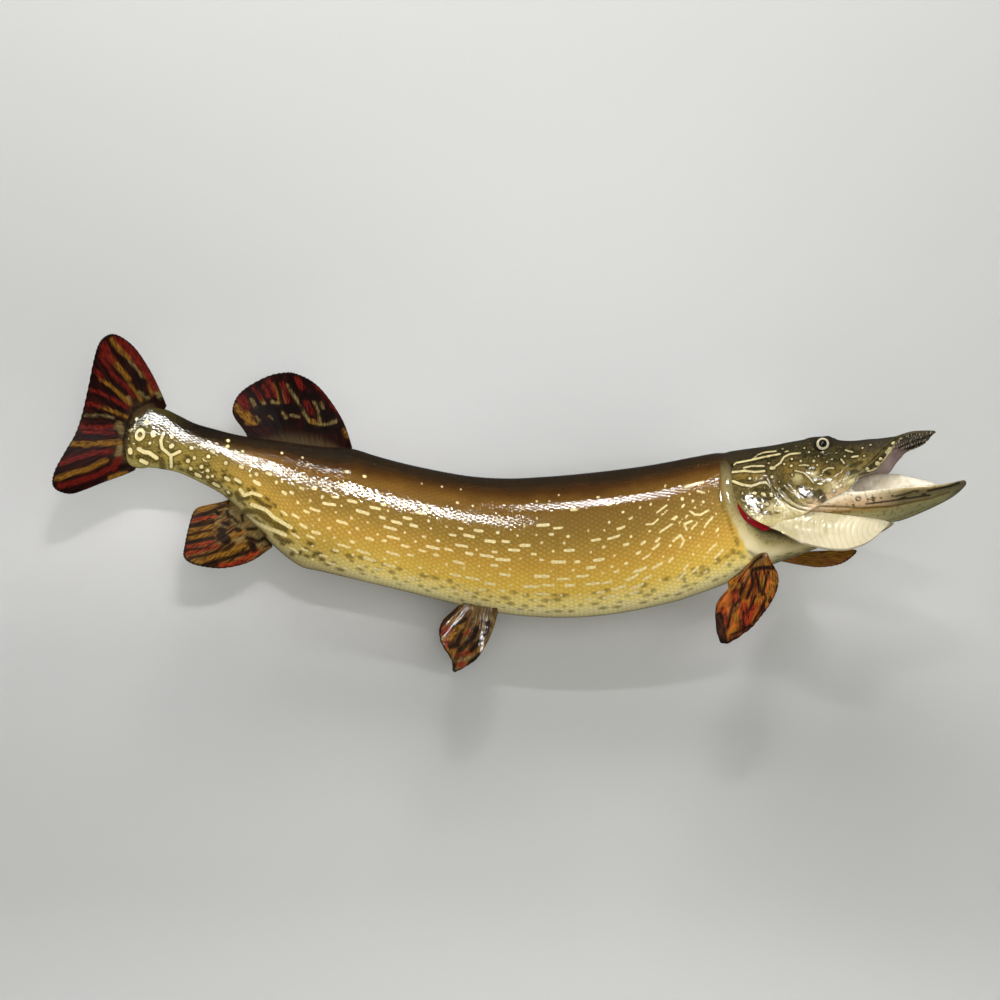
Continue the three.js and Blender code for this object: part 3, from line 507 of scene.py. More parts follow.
# A lattice has its pitch along s and its rows from back to belly. Marks lie in a band of that way.
DASH = {"length": 19.5, "rows": 22, "seed": SEED, "band": (0.2, 0.86), "longest": 13.5}
BLOTCH = {"length": 13.0, "rows": 26, "seed": SEED + 1, "lowest": 0.885, "chance": 0.66}
LATTICE_ROWS, LATTICE_COLUMNS, LATTICE_DRAWS = 64, 96, 7 # past these the draws repeat
DASHES_FROM, DASHES_TO = -585, -12
DASH_ROOM = 3.2 # how far the scattered dashes keep from the listed strokes


def lattice(s, share, grid):
    """The nine cells round each point of a staggered lattice over the hide, with their draws.

    A cell is one pitch along s by one row of the way from back to belly. Yields the offset of the
    point from the cell's jittered middle, along s and round the girth, and the cell's other draws.
    """
    size = (2, LATTICE_ROWS, LATTICE_COLUMNS, LATTICE_DRAWS)
    draws = np.random.default_rng(grid["seed"]).random(size)
    side = (np.mod(share, 1) > 0.5).astype(int)
    way = 2 * np.minimum(np.mod(share, 1), 1 - np.mod(share, 1))
    half_girth = GIRTH.at(s) / 2
    row_at = np.floor(way * grid["rows"]).astype(int)
    for row_step in (-1, 0, 1):
        row = row_at + row_step
        shift = 0.5 * np.mod(row, 2)
        column_at = np.floor(s / grid["length"] - shift).astype(int)
        for column_step in (-1, 0, 1):
            column = column_at + column_step
            cell = side, np.mod(row, LATTICE_ROWS), np.mod(column, LATTICE_COLUMNS)
            draw = np.moveaxis(draws[cell], -1, 0)
            middle_s = (column + 0.5 + shift + 0.4 * (draw[0] - 0.5)) * grid["length"]
            middle_way = (row + 0.5 + 0.5 * (draw[1] - 0.5)) / grid["rows"]
            yield s - middle_s, (way - middle_way) * half_girth, middle_way, draw[2:]


def dash_depth(s, share):
    """Cream dashes along the flanks: short bars that tilt and bend near the gills.

    Each bar is a capsule. Its length falls to a dot for a quarter of the draws, and it leans up
    toward the head by as much as 35 degrees close to the gill slit. Toward the tail the bars are
    fewer, shorter and thicker.
    """
    depth = np.full(s.shape, OUTSIDE)
    near_gill = ease(-170, -40, s)
    near_tail = ease(-440, -560, s)
    high, low = DASH["band"]
    longest = DASH["longest"] - 8 * near_tail
    for ds, dq, way, draw in lattice(s, share, DASH):
        chance = (0.3 + 0.65 * ease(0.28, 0.44, way)) * (1 - 0.45 * near_tail)
        shown = (draw[0] < chance) & (way > high) & (way < low)
        long = np.maximum(draw[1] * 1.35 - 0.35, 0) * longest * ease(high, high + 0.2, way)
        lean = 0.08 * (draw[2] - 0.5) + near_gill * (0.35 + 0.3 * draw[2])
        bend = 0.05 * near_gill * (draw[3] - 0.5)
        across = dq + lean * ds + bend * ds * ds
        beyond = np.maximum(np.abs(ds) - long / 2, 0)
        half = 1.2 + 0.45 * draw[4] + 0.4 * near_tail
        depth = np.maximum(depth, np.where(shown, half - np.hypot(beyond, across), OUTSIDE))
    return depth


def blotch_depth(s, share):
    """Olive smudges low on the flanks, closer together and higher up toward the tail."""
    depth = np.full(s.shape, OUTSIDE)
    high = 0.74 - 0.14 * ease(-430, -520, s)
    for ds, dq, way, draw in lattice(s, share, BLOTCH):
        shown = (draw[0] < BLOTCH["chance"]) & (way > high) & (way < BLOTCH["lowest"])
        half, stretch = 1.1 + 1.3 * draw[1], 1.1 + draw[2]
        depth = np.maximum(depth, np.where(shown, half - np.hypot(ds / stretch, dq), OUTSIDE))
    return depth


def hide_fields(s, share, h):
    """The numbers that colour the hide: rise from belly to back, and depths in its markings."""
    top, bottom = curve(BACK, s), curve(BELLY, s)
    pale, vent = stroke_depth(GILL_PALE + TAIL_PALE, s, h), stroke_depth(VENT_DARK, s, h)
    dashed = (s >= DASHES_FROM) & (s < DASHES_TO) & (np.maximum(pale, vent) <= -DASH_ROOM)
    pale = np.maximum(np.where(dashed, dash_depth(s, share), OUTSIDE), pale)
    round_ring = np.hypot(s - TAIL_RING["s"], (h - TAIL_RING["h"]) / TAIL_RING["tall"])
    pale = np.maximum(pale, TAIL_RING["half"] - np.abs(round_ring - TAIL_RING["radius"]))
    placed = stroke_depth(GILL_DARK + TAIL_DARK, s, h)
    past = s - curve(COLLAR, h)
    return {
        "rise": np.clip((h - bottom) / (top - bottom), 0, 1),
        "along": s * MM,
        "pale": np.where(past > 0, OUTSIDE, pale),
        "dark": np.maximum(np.maximum(blotch_depth(s, share), placed), vent),
        "bare": ease(-1, 1.5, past),
    }


# ---------------------------------------------------------------- meshes from grids
class Patch(NamedTuple):
    """Part of a mesh: points in millimetres, faces as index rows, numbers at its points, finish."""
    points: np.ndarray
    quads: np.ndarray
    tris: np.ndarray
    fields: dict
    finish: int = 0


def numbered(rows, columns):
    """Indices of the points of a grid."""
    return np.arange(rows * columns).reshape(rows, columns)


def net(index):
    """Quads between the rows and the columns of an index grid."""
    return np.stack([index[:-1, :-1], index[:-1, 1:], index[1:, 1:], index[1:, :-1]], -1).reshape(-1, 4)


def belts(index):
    """Quads between the rows of an index grid that goes all the way round."""
    after = np.roll(index, -1, 1)
    return np.stack([index[:-1], after[:-1], after[1:], index[1:]], -1).reshape(-1, 4)


def enclosed(points, quads, tris):
    """Six times the signed volume within a closed set of faces."""
    corners = np.vstack([quads[:, [0, 1, 2]], quads[:, [0, 2, 3]], tris])
    a, b, c = (points[corners[:, k]] for k in range(3))
    return float(np.sum(a * np.cross(b, c)))


def faced(points, quads, tris, fields, finish):
    """A patch whose faces are turned round if they point inward."""
    if enclosed(points, quads, tris) < 0:
        quads, tris = quads[:, ::-1], tris[:, ::-1]
    return Patch(points, quads, tris, {k: np.ravel(v) for k, v in fields.items()}, finish)


def shell(rings, fields, finish=0):
    """A closed shell over rings of world points, rows by an even count round.

    Each end is closed by a ladder between the first half of its ring and the second half.
    """
    rows, count = rings.shape[:2]
    sides = belts(numbered(rows, count))
    rung = np.arange(count // 2 - 1)
    ladder = np.stack([rung, count - 1 - rung, count - 2 - rung, rung + 1], -1)
    ends = np.vstack([ladder, ladder[:, ::-1] + (rows - 1) * count])
    return faced(rings.reshape(-1, 3), np.vstack([sides, ends]), np.empty((0, 3), int), fields, finish)


def two_faced(front, back, fields, finish=0):
    """A closed slab between two grids of world points of one shape, rows by columns."""
    rings = np.concatenate([front, back[:, ::-1]], 1)
    doubled = {k: np.concatenate([v, v[:, ::-1]], 1) for k, v in fields.items()}
    return shell(rings, doubled, finish)


def normals(grid):
    """Unit normals of a grid of points, from the differences along its rows and columns."""
    across = np.cross(np.gradient(grid, axis=0), np.gradient(grid, axis=1))
    return across / np.maximum(np.linalg.norm(across, axis=-1, keepdims=True), 1e-9)


def outward(grid, middle):
    """Unit normals of a grid, turned away from a point within it."""
    facing = normals(grid)
    return facing * np.sign(np.sum(facing * (grid - middle), -1, keepdims=True))


def thickened(grid, thick, fields, finish=0):
    """A slab that reaches half its thickness to each side of a grid of points."""
    reach = normals(grid) * (np.asarray(thick) / 2)[..., None]
    return two_faced(grid + reach, grid - reach, fields, finish)


def ball(middle, pole, radius, turns):
    """A sphere of even rings about its pole, with the angle off the pole as its field."""
    pole = pole / np.linalg.norm(pole)
    side = np.cross(pole, (0, 0, 1))
    side /= np.linalg.norm(side)
    other = np.cross(pole, side)
    angle = np.linspace(0, np.pi, turns + 2)[1:-1, None]
    round_it = np.linspace(0, 2 * np.pi, 2 * turns, endpoint=False)[None]
    ring = np.sin(angle)[..., None] * (
        np.cos(round_it)[..., None] * side + np.sin(round_it)[..., None] * other
    )
    points = (ring + np.cos(angle)[..., None] * pole).reshape(-1, 3)
    points = middle + radius * np.vstack([points, pole, -pole])
    rows, count = turns, 2 * turns
    index = numbered(rows, count)
    after = np.roll(index, -1, 1)
    tip, base = rows * count, rows * count + 1
    top = np.stack([index[0], np.full(count, tip), after[0]], -1)
    low = np.stack([index[-1], after[-1], np.full(count, base)], -1)
    off = np.concatenate([np.repeat(angle[:, 0], count), [0, np.pi]])
    return faced(points, belts(index), np.vstack([top, low]), {"off": off}, 0)


def copies(points, quads, tris, fields):
    """One patch from many shapes with the same faces: points and fields are shapes by vertices."""
    if enclosed(points[0], quads, tris) < 0:
        quads, tris = quads[:, ::-1], tris[:, ::-1]
    many, each = points.shape[:2]
    start = (np.arange(many) * each)[:, None, None]
    quads, tris = (quads[None] + start).reshape(-1, 4), (tris[None] + start).reshape(-1, 3)
    return Patch(points.reshape(-1, 3), quads, tris, {k: np.ravel(v) for k, v in fields.items()})


def build(name, patches, materials, replaced=(), sharp=None, uv=None):
    """Makes one object from patches, with their numbers as attributes, and rides it on the body.

    sharp is the angle, in degrees, past which an edge isn't smoothed. uv is the name of a map and
    the place on it of each point.
    """
    offset, corners, totals, finish = 0, [], [], []
    for patch in patches:
        corners += [(patch.quads + offset).ravel(), (patch.tris + offset).ravel()]
        totals += [np.full(len(patch.quads), 4), np.full(len(patch.tris), 3)]
        finish.append(np.full(len(patch.quads) + len(patch.tris), patch.finish))
        offset += len(patch.points)
    corners, totals = np.concatenate(corners), np.concatenate(totals)
    points = np.vstack([patch.points for patch in patches]) * MM
    if not np.isfinite(points).all():
        raise RuntimeError(f"{name} has a point that isn't a number")
    mesh = bpy.data.meshes.new(name)
    mesh.vertices.add(len(points))
    mesh.vertices.foreach_set("co", points.astype(np.float32).ravel())
    mesh.loops.add(len(corners))
    mesh.loops.foreach_set("vertex_index", corners.astype(np.int32))
    mesh.polygons.add(len(totals))
    starts = np.concatenate([[0], np.cumsum(totals)[:-1]])
    mesh.polygons.foreach_set("loop_start", starts.astype(np.int32))
    mesh.polygons.foreach_set("material_index", np.concatenate(finish).astype(np.int32))
    mesh.update(calc_edges=True)
    mesh.shade_smooth()
    if sharp is not None:
        mesh.set_sharp_from_angle(angle=math.radians(sharp))
    for key in sorted({key for patch in patches for key in patch.fields}):
        values = [patch.fields.get(key, np.zeros(len(patch.points))) for patch in patches]
        attribute = mesh.attributes.new(key, "FLOAT", "POINT")
        attribute.data.foreach_set("value", np.concatenate(values).astype(np.float32))
    if uv is not None:
        layer = mesh.uv_layers.new(name=uv[0])
        layer.uv.foreach_set("vector", uv[1][corners].astype(np.float32).ravel())
    for material in materials:
        mesh.materials.append(material)
    made = bpy.data.objects.new(name, mesh)
    bpy.context.scene.collection.objects.link(made)
    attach(made, BODY)
    if replaced:
        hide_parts(*replaced)


# ---------------------------------------------------------------- shader sums
class Wire:
    """A node tree's output socket that can be used in sums: each operator adds a Math node."""

    def __init__(self, tree, socket=None):
        self.tree = tree
        self.socket = socket

    def node(self, kind, settings=None, inputs=None, out=0):
        """Adds a node: its settings first, then the values or links of its input sockets.

        A colour may be given by its code. A ramp's stops are positions with codes.
        """
        made = self.tree.nodes.new(kind)
        for key, value in (settings or {}).items():
            if key == "stops":
                ramp = made.color_ramp
                while len(ramp.elements) < len(value):
                    ramp.elements.new(1.0)
                for element, (position, code) in zip(ramp.elements, value):
                    element.position = position
                    element.color = (*linear(code), 1)
            else:
                setattr(made, key, value)
        for key, value in (inputs or {}).items():
            socket = made.inputs[key]
            if isinstance(value, Wire):
                self.tree.links.new(value.socket, socket)
            elif socket.type == "RGBA":
                colour = linear(value) if isinstance(value, str) else value
                socket.default_value = (*colour, 1)
            else:
                socket.default_value = value
        return Wire(self.tree, made.outputs[out] if len(made.outputs) else None)

    def sum(self, operation, first, second=0.0):
        return self.node("ShaderNodeMath", {"operation": operation}, {0: first, 1: second})

    def __add__(self, other):
        return self.sum("ADD", self, other)

    def __radd__(self, other):
        return self.sum("ADD", other, self)

    def __sub__(self, other):
        return self.sum("SUBTRACT", self, other)

    def __rsub__(self, other):
        return self.sum("SUBTRACT", other, self)

    def __mul__(self, other):
        return self.sum("MULTIPLY", self, other)

    def __rmul__(self, other):
        return self.sum("MULTIPLY", other, self)

    def __abs__(self):
        return self.sum("ABSOLUTE", self)

    def swing(self, most):
        """How far a noise lies from its middle, times an amount."""
        return (self - 0.5) * most

    def field(self, name):
        """A number that the mesh holds at its points."""
        return self.node("ShaderNodeAttribute", {"attribute_name": name}, out="Fac")

    def stretched(self, scale):
        """Object coordinates times a scale along each axis."""
        inputs = {"Vector": self.node("ShaderNodeTexCoord", out="Object"), "Scale": scale}
        return self.node("ShaderNodeMapping", None, inputs)

    def joined(self, x, y, z=0.0):
        return self.node("ShaderNodeCombineXYZ", None, {"X": x, "Y": y, "Z": z})

    def noise(self, scale, detail=2.0, vector=None, rough=0.5):
        """Noise about 0.5, whose scale is its cells in a metre."""
        inputs = {"Scale": scale, "Detail": detail, "Roughness": rough}
        inputs["Vector"] = vector or self.node("ShaderNodeTexCoord", out="Object")
        return self.node("ShaderNodeTexNoise", None, inputs)

    def eased(self, low, high, value):
        """0 at low, 1 at high, smooth between them."""
        inputs = {"Value": value, "From Min": low, "From Max": high}
        return self.node("ShaderNodeMapRange", {"interpolation_type": "SMOOTHSTEP"}, inputs)

    def past(self, stretch):
        """0 at the first end of a stretch of the body, 1 at its second."""
        return self.eased(*stretch, self.field("along"))

    def mix(self, share, first, second):
        """A colour between two others."""
        return self.node("ShaderNodeMix", {"data_type": "RGBA"}, {0: share, 6: first, 7: second}, out=2)

    def layered(self, colour, *coats):
        """Coats laid over a colour, one after another: each is its share and its own colour."""
        for share, coat in coats:
            colour = self.mix(share, colour, coat)
        return colour

    def ramp(self, value, *stops):
        return self.node("ShaderNodeValToRGB", {"stops": stops}, {"Fac": value})

    def bump(self, height, distance):
        """A normal from a height of 0 to 1 that stands distance metres high."""
        return self.node("ShaderNodeBump", None, {"Height": height, "Distance": distance})


def blank_material(name):
    """A material without nodes, and the wire that adds them."""
    material = bpy.data.materials.new(name)
    material.use_nodes = True
    material.node_tree.nodes.clear()
    return material, Wire(material.node_tree)


def finish(name, paint, *tints, **constants):
    """A material: paint gives what changes over the surface, constants what doesn't."""
    material, start = blank_material(name)
    inputs = {key.replace("_", " "): value for key, value in constants.items()}
    inputs.update(paint(start, *tints))
    shader = start.node("ShaderNodeBsdfPrincipled", None, inputs)
    start.node("ShaderNodeOutputMaterial", None, {"Surface": shader})
    return material


VARNISH = {"Roughness": 0.07, "Specular_IOR_Level": 0.5, "Coat_Weight": 0.25, "Coat_Roughness": 0.05}
BRUSHED, WRINKLED, FOLDED = 0.00036, 0.0005, 0.0008 # heights of relief, in metres

# Stretches over which one finish turns into the next, in metres from the gill slit.
TO_TAIL = (-0.36, -0.45)
TO_STALK = (-0.5, -0.585)
TO_STALK_SPOTS = (-0.5, -0.57)
TO_STALK_SCALES = (-0.5, -0.6)
TO_STALK_END = (-0.59, -0.635)
TO_FIN_ROOT = (-0.649, -0.6545)
TO_THROAT = (0.03, 0.06)
TO_SHOULDER, FROM_SHOULDER = (-0.26, -0.2), (-0.02, -0.06)
TO_SNOUT, TO_NOSE = (0.125, 0.165), (0.183, 0.192)
TO_CHIN, TO_JAW_TIP = (0.138, 0.185), (0.212, 0.232)
TO_PALATE_LINES = (0.18, 0.19)


def varnish_height(start, extra=None):
    """The slow unevenness of brushed varnish, over any finer relief."""
    height = start.noise(95.0, 2.5) * 0.9 + start.noise(420.0, 2.0) * 0.12
    return height if extra is None else height + extra


def varnish_bump(start, extra=None, distance=BRUSHED):
    return start.bump(varnish_height(start, extra), distance)


def hide_colour(start, look):
    """The trunk's ground from belly to back, olive toward the tail, under its marks."""
    rise, bareness = start.field("rise"), start.field("bare")
    cloud = start.noise(60.0, 3.0)
    to_tail = start.past(TO_TAIL)
    level = rise + cloud.swing(0.07) + to_tail * start.eased(0.6, 0.8, rise) * 0.05
    # The flank ramp's lowest stop, greyer than the cream above it, is painted shade under the belly.
    flank = start.ramp(
        level, (0.0, "#d0c492"), (0.045, "#ebde9f"), (0.1, "#f6e188"), (0.19, "#e2bd53"),
        (0.36, "#bb933d"), (0.52, "#8e7231"), (0.68, "#7a5e2a"), (0.8, "#704f1c"),
        (0.885, "#44290d"), (0.94, "#2b1f11"), (1.0, "#221b13"),
    )
    stalk = start.ramp(
        level, (0.0, "#aaa062"), (0.2, "#9a863f"), (0.45, "#7c6b30"), (0.7, "#5c4c20"),
        (0.8, "#3f3218"), (0.87, "#1d160c"), (1.0, "#15110b"),
    )
    bare = start.ramp(
        level, (0.0, "#a5986c"), (0.08, "#d2c491"), (0.22, "#e9dcae"), (0.36, "#c4b482"),
        (0.5, "#998a58"), (0.8, "#756947"), (0.93, "#3f3521"), (1.0, "#241d14"),
    )
    low = start.eased(0.48, 0.2, rise)
    mottle = start.eased(0.5, 0.66, start.noise(330.0, 3.0)) * bareness * start.eased(0.3, 0.5, rise)
    dark = start.eased(-2.0, 1.4, start.field("dark") + cloud.swing(2.0))
    pale = start.field("pale") + start.noise(900.0).swing(0.5)
    halo = start.eased(-2.6, -0.6, pale) * start.past(TO_STALK_SPOTS)
    return start.layered(
        flank,
        (to_tail * low * 0.5, "#77652f"),
        (start.past(TO_STALK), start.mix(start.past(TO_STALK_END) * 0.45, stalk, "#534a20")),
        (bareness, start.mix(start.past(TO_THROAT) * 0.65, bare, "#9a8c5a")),
        (mottle * 0.4, "#4a4020"),
        (dark * (0.62 + to_tail * 0.2), start.mix(to_tail, look.blotch, "#2a2510")),
        (halo * 0.6, "#383214"),
        (start.eased(-0.35, 0.35, pale) * 0.88, look.mark),
        (start.past(TO_FIN_ROOT) * 0.85, "#17120a"),
    )


def hide_paint(start, look):
    return {"Base Color": hide_colour(start, look), "Normal": varnish_bump(start)}


def scale_paint(start, look):
    """Each scale is gold in its middle and brown along its free edge, less so near the back.

    Its varnish is brushed along the body, and evener on the shoulder.
    """
    rise, edge = start.field("rise"), start.field("edge")
    low = start.eased(0.85, 0.4, rise)
    plain = start.past(TO_STALK_SCALES) * 0.5
    uneven = start.eased(0.35, 0.65, start.noise(300.0, 3.0))
    middle = start.eased(0.55, 0.1, edge) * low * (start.field("tone") * 0.2 + uneven * 0.08)
    rim = start.eased(0.4, 1.0, edge) * (0.12 + low * 0.1 + uneven * 0.14) * (1 - plain)
    brush = start.noise(1.0, 2.0, start.joined(start.field("along") * 60.0, rise * 24.0))
    relief = varnish_height(start, start.noise(190.0) * 0.5 + brush * 0.45)
    smooth = start.past(TO_SHOULDER) * start.past(FROM_SHOULDER)
    colour = start.layered(
        hide_colour(start, look), (middle, "#e6b94e"), (rim, start.mix(low, "#2a1c0a", "#74460f")),
    )
    return {"Base Color": colour, "Normal": start.bump(relief * (1 - smooth * 0.6), BRUSHED)}


def head_paint(start):
    """Olive from rim to crown, with soft patches of tint, a dark network, and edged pale lines."""
    rise, cream, murk = (start.field(name) for name in ("rise", "cream", "murk"))
    fine = start.noise(260.0, 3.0)
    clear = 1 - cream * 0.6
    network = start.eased(0.49, 0.6, fine) * (0.42 + murk * 0.35) * clear
    peppered = start.eased(0.52, 0.62, start.noise(640.0, 2.0)) * 0.34 * clear
    fleck = start.eased(0.66, 0.72, start.noise(310.0, 1.0)) * murk * 0.5
    pale = start.field("pale") - 0.12 + start.noise(700.0).swing(0.7)
    faded = 0.95 - start.eased(0.5, 0.7, start.noise(180.0)) * 0.35
    ground = start.ramp(
        rise + start.noise(75.0, 4.0).swing(0.2), (0.0, "#9f8e5a"), (0.15, "#877642"),
        (0.35, "#6f5f2e"), (0.6, "#574925"), (0.8, "#41361f"), (0.92, "#2e261a"), (1.0, "#241e17"),
    )
    colour = start.layered(
        ground,
        (start.past(TO_SNOUT) * start.eased(0.35, 0.7, rise) * 0.8, "#3d382f"),
        (start.field("gold") * 0.65, "#866b2b"),
        (cream * 0.8, "#c8ba83"),
        (start.field("pink") * 0.85, "#caa983"),
        (murk * 0.75, "#35321b"),
        (start.past(TO_NOSE) * 0.9, start.mix(fine, "#221d17", "#6e6350")),
        (network, "#262011"),
        (peppered, "#2a2412"),
        (fleck, "#8f875c"),
        (start.eased(-1.2, 0.9, start.field("dark")) * 0.8, "#2c2812"),
        (start.eased(-2.4, -0.5, pale) * 0.7, "#272010"),
        (start.eased(-0.4, 0.4, pale) * faded, "#c6b785"),
        # The hollow field darkens the grooves and nostrils: painted shade in the recesses.
        (start.eased(0.1, 0.9, start.field("hollow")) * 0.8, "#1d150b"),
    )
    relief = start.noise(600.0, 2.0) * 0.1 + start.noise(240.0, 3.0) * 0.5
    return {"Base Color": colour, "Normal": varnish_bump(start, relief, WRINKLED)}


def jaw_paint(start):
    """Cream at the lip, an olive band below it, greenish under the chin, darker at the tip."""
    level = start.field("rise") + start.noise(90.0, 3.0).swing(0.14)
    back = start.ramp(
        level, (0.0, "#a49c6e"), (0.3, "#a29766"), (0.44, "#8d6f34"), (0.5, "#b4966a"),
        (0.75, "#cdb08a"), (0.9, "#e2d3b0"), (1.0, "#efe6cc"),
    )
    front = start.ramp(
        level, (0.0, "#8c8860"), (0.35, "#847c52"), (0.5, "#6a6040"), (0.72, "#584e34"),
        (0.84, "#77683f"), (0.92, "#a39065"), (1.0, "#c0ae84"),
    )
    colour = start.layered(
        back,
        (start.past(TO_CHIN), front),
        (start.past(TO_JAW_TIP) * 0.7, "#524c38"),
        (start.eased(0.52, 0.66, start.noise(280.0, 3.0)) * 0.45, "#4a3f26"),
        (start.eased(-0.7, 0.5, start.field("dark")) * 0.9, "#1f1a10"),
        # The hollow field darkens the side groove and the channel under the chin: painted shade.
        (start.eased(0.1, 0.9, start.field("hollow")) * 0.7, "#5a421c"),
    )
    return {"Base Color": colour, "Normal": varnish_bump(start, start.noise(260.0, 3.0) * 0.6)}


def membrane_paint(start):
    """Ivory with painted shade in the valleys between its ribs, greenish and spotted toward its upper rear,
    dark at its edge.
    """
    root = start.field("rise")
    cloud = start.noise(80.0, 3.0)
    green = start.eased(0.5, 0.85, start.field("rear") * 0.9 + root * 0.35 + cloud.swing(0.4))
    spots = start.eased(0.58, 0.66, start.noise(170.0, 2.0)) * green
    colour = start.layered(
        start.mix(cloud, "#e4dabb", "#d9cca4"),
        # Darker between the ribs: painted shade in the valleys.
        (start.eased(0.4, 0.0, start.field("rib")) * 0.45, "#a8945c"),
        (green * 0.6, "#9c9062"),
        (spots * 0.3, "#4a4326"),
        (start.eased(0.08, 0.03, root) * 0.7, "#4a4020"),
    )
    return {"Base Color": colour, "Normal": varnish_bump(start)}


def lining_paint(start):
    """The inside of the mouth: mauve above at the back, brown toward the snout, cream below."""
    cloud = start.noise(110.0, 4.0)
    roof = start.ramp(
        (start.field("along") - 0.1) * 8.0 + cloud.swing(0.16), (0.3, "#cdb8aa"), (0.5, "#bfa9a2"),
        (0.6, "#8a7472"), (0.67, "#3a2c2b"), (0.74, "#211a17"), (0.86, "#2c2520"), (0.93, "#6f6251"),
        (0.98, "#75695a"),
    )
    lines = start.eased(0.035, 0.01, abs(start.noise(150.0, 1.0) - 0.5))
    lines = lines * start.past(TO_PALATE_LINES) * start.eased(0.3, 0.6, cloud)
    colour = start.layered(
        roof,
        (lines * 0.8, "#8d8068"),
        (start.field("low"), start.mix(start.eased(0.35, 0.7, cloud), "#efe9d6", "#dacbae")),
        (start.eased(0.62, 0.74, start.noise(500.0, 2.0)) * 0.12, "#4e3a2c"),
    )
    return {"Base Color": colour, "Normal": varnish_bump(start, start.noise(170.0, 3.0) * 1.4, FOLDED)}


def gill_paint(start):
    # The dark red in the valleys between the filaments is painted shade; the filaments' crests keep the
    # bright red.
    red = start.mix(start.eased(0.2, 0.8, start.field("ridge")), "#3c0508", "#8e1017")
    return {"Base Color": red, "Normal": varnish_bump(start)}


DEEP_RED, FLAME = "#6b1a10", "#8f3114" # the reds of the upper and of the lower fins


def fin_paint(start, dim, warm, base, red=DEEP_RED):
    """Streaks of red, ochre and tan over a ground of two tones, each frayed along the rays."""
    ray, reach, ridge, number = (start.field(name) for name in ("ray", "reach", "ridge", "fin"))
    grain = start.noise(1.0, 3.0, start.joined(ray * 6.0, reach * 11.0, number), 0.65)
    streak = start.noise(1.0, 3.0, start.joined(ray * 2.3, reach * 4.0, number), 0.6)
    frayed = grain.swing(1.6) + streak.swing(4.4)
    ground = start.layered(
        dim,
        (start.eased(0.4, 0.68, streak), warm),
        (start.eased(0.3, 0.05, reach + streak.swing(0.3)) * 0.7, base),
    )
    inks = {"tan": ("#40331c", "#7d6b40"), "ochre": ("#3f260a", "#8a5f1b"), "red": ("#2a0807", red)}
    for key, tones in inks.items():
        depth = start.eased(-1.8, 1.5, start.field(key) + frayed)
        tone = start.mix(start.eased(0.38, 0.62, grain), *tones)
        ground = start.mix(depth * 0.9, ground, tone)
    colour = start.layered(
        ground,
        (start.eased(-1.4, 0.9, start.field("black") + frayed) * 0.9, "#0f0a08"),
        # Darker between the rays: painted shade in the valleys of the ridged fin.
        (start.eased(0.5, 0.1, ridge) * 0.3, "#120604"),
        (start.eased(0.955, 0.99, reach) * 0.85, "#130b09"),
    )
    return {"Base Color": colour, "Normal": varnish_bump(start, ridge * 0.06, WRINKLED)}


def eye_paint(start):
    """Pupil, silver iris and dark rim, by the angle off the line of sight."""
    off = start.field("off")
    rays = start.noise(700.0, 3.0)
    silver = start.mix(rays, "#e6dcc0", "#8f8260")
    iris = start.mix(start.eased(0.54, 0.46, off + rays.swing(0.08)) * 0.6, silver, "#b08a3a")
    colour = start.layered(
        "#040404",
        (start.eased(0.44, 0.47, off), iris),
        (start.eased(0.7, 0.82, off + rays.swing(0.12)), "#1a160d"),
    )
    return {"Base Color": colour}


def bone_paint(start):
    return {"Base Color": start.mix(start.noise(600.0, 2.0), "#e6dcc0", "#b79f76")}


def wood_paint(start):
    """Stained wood, its grain along the block."""
    lengthwise = start.stretched((3.0, 40.0, 40.0))
    grain = start.noise(14.0, 4.0, lengthwise, 0.7)
    tone = start.noise(3.0, 5.0, lengthwise, 0.65) * 0.7 + grain * 0.3
    return {
        "Base Color": start.ramp(tone, (0.3, "#4e3622"), (0.5, "#76552f"), (0.7, "#94703f")),
        "Roughness": 0.55 + grain * 0.3,
        "Normal": start.bump(grain, 0.0004),
    }


def steel_paint(start):
    """Steel brushed along the hanger."""
    lines = start.noise(4.0, 3.0, start.stretched((20.0, 400.0, 900.0)), 0.6)
    return {
        "Base Color": start.mix(lines, "#9b9d9f", "#bfc1c2"),
        "Roughness": 0.28 + lines * 0.22,
        "Normal": start.bump(lines, 0.00005),
    }


# ---------------------------------------------------------------- skin
HIDE, HEAD, JAW, MEMBRANE, LINING = range(5) # the skin's finishes
COAT_DEPTH = 0.6
TRUNK_FROM, TRUNK_TO = -655, 152
TRUNK_STEP = 3.4
TRUNK_ROUND = 116


def collar_lift(s, h):
    """The smooth band of the shoulder girdle in front of the scales: a groove, then two swells."""
    past = s - curve(COLLAR, h)
    low = ease(60, 48, h)
    swell = 0.9 * bell(past - 3.4, 2.0) + 0.6 * bell(past - 8.5, 2.0)
    return ease(-3, 1, past) * low * swell - 0.9 * bell(past + 1.2, 1.3) * low


def trunk_patch():
    """The trunk and throat: rings of even shares of the girth, a coat's depth inside the solids.

    A ring starts at a flank, so that the ladder that closes an end stands upright.
    """
    rows = int((TRUNK_TO - TRUNK_FROM) / TRUNK_STEP)
    share = np.mod((np.arange(TRUNK_ROUND) + 0.5) / TRUNK_ROUND + 0.25, 1)
    s, share = np.meshgrid(np.linspace(TRUNK_FROM, TRUNK_TO, rows), share, indexing="ij")
    _, plain = hide(s, share)
    lift = -COAT_DEPTH * ease(6, -4, s) + np.where(s < 30, collar_lift(s, plain), 0)
    l, h = hide(s, share, lift)
    return shell(place(s, l, h), hide_fields(s, share, h), HIDE)


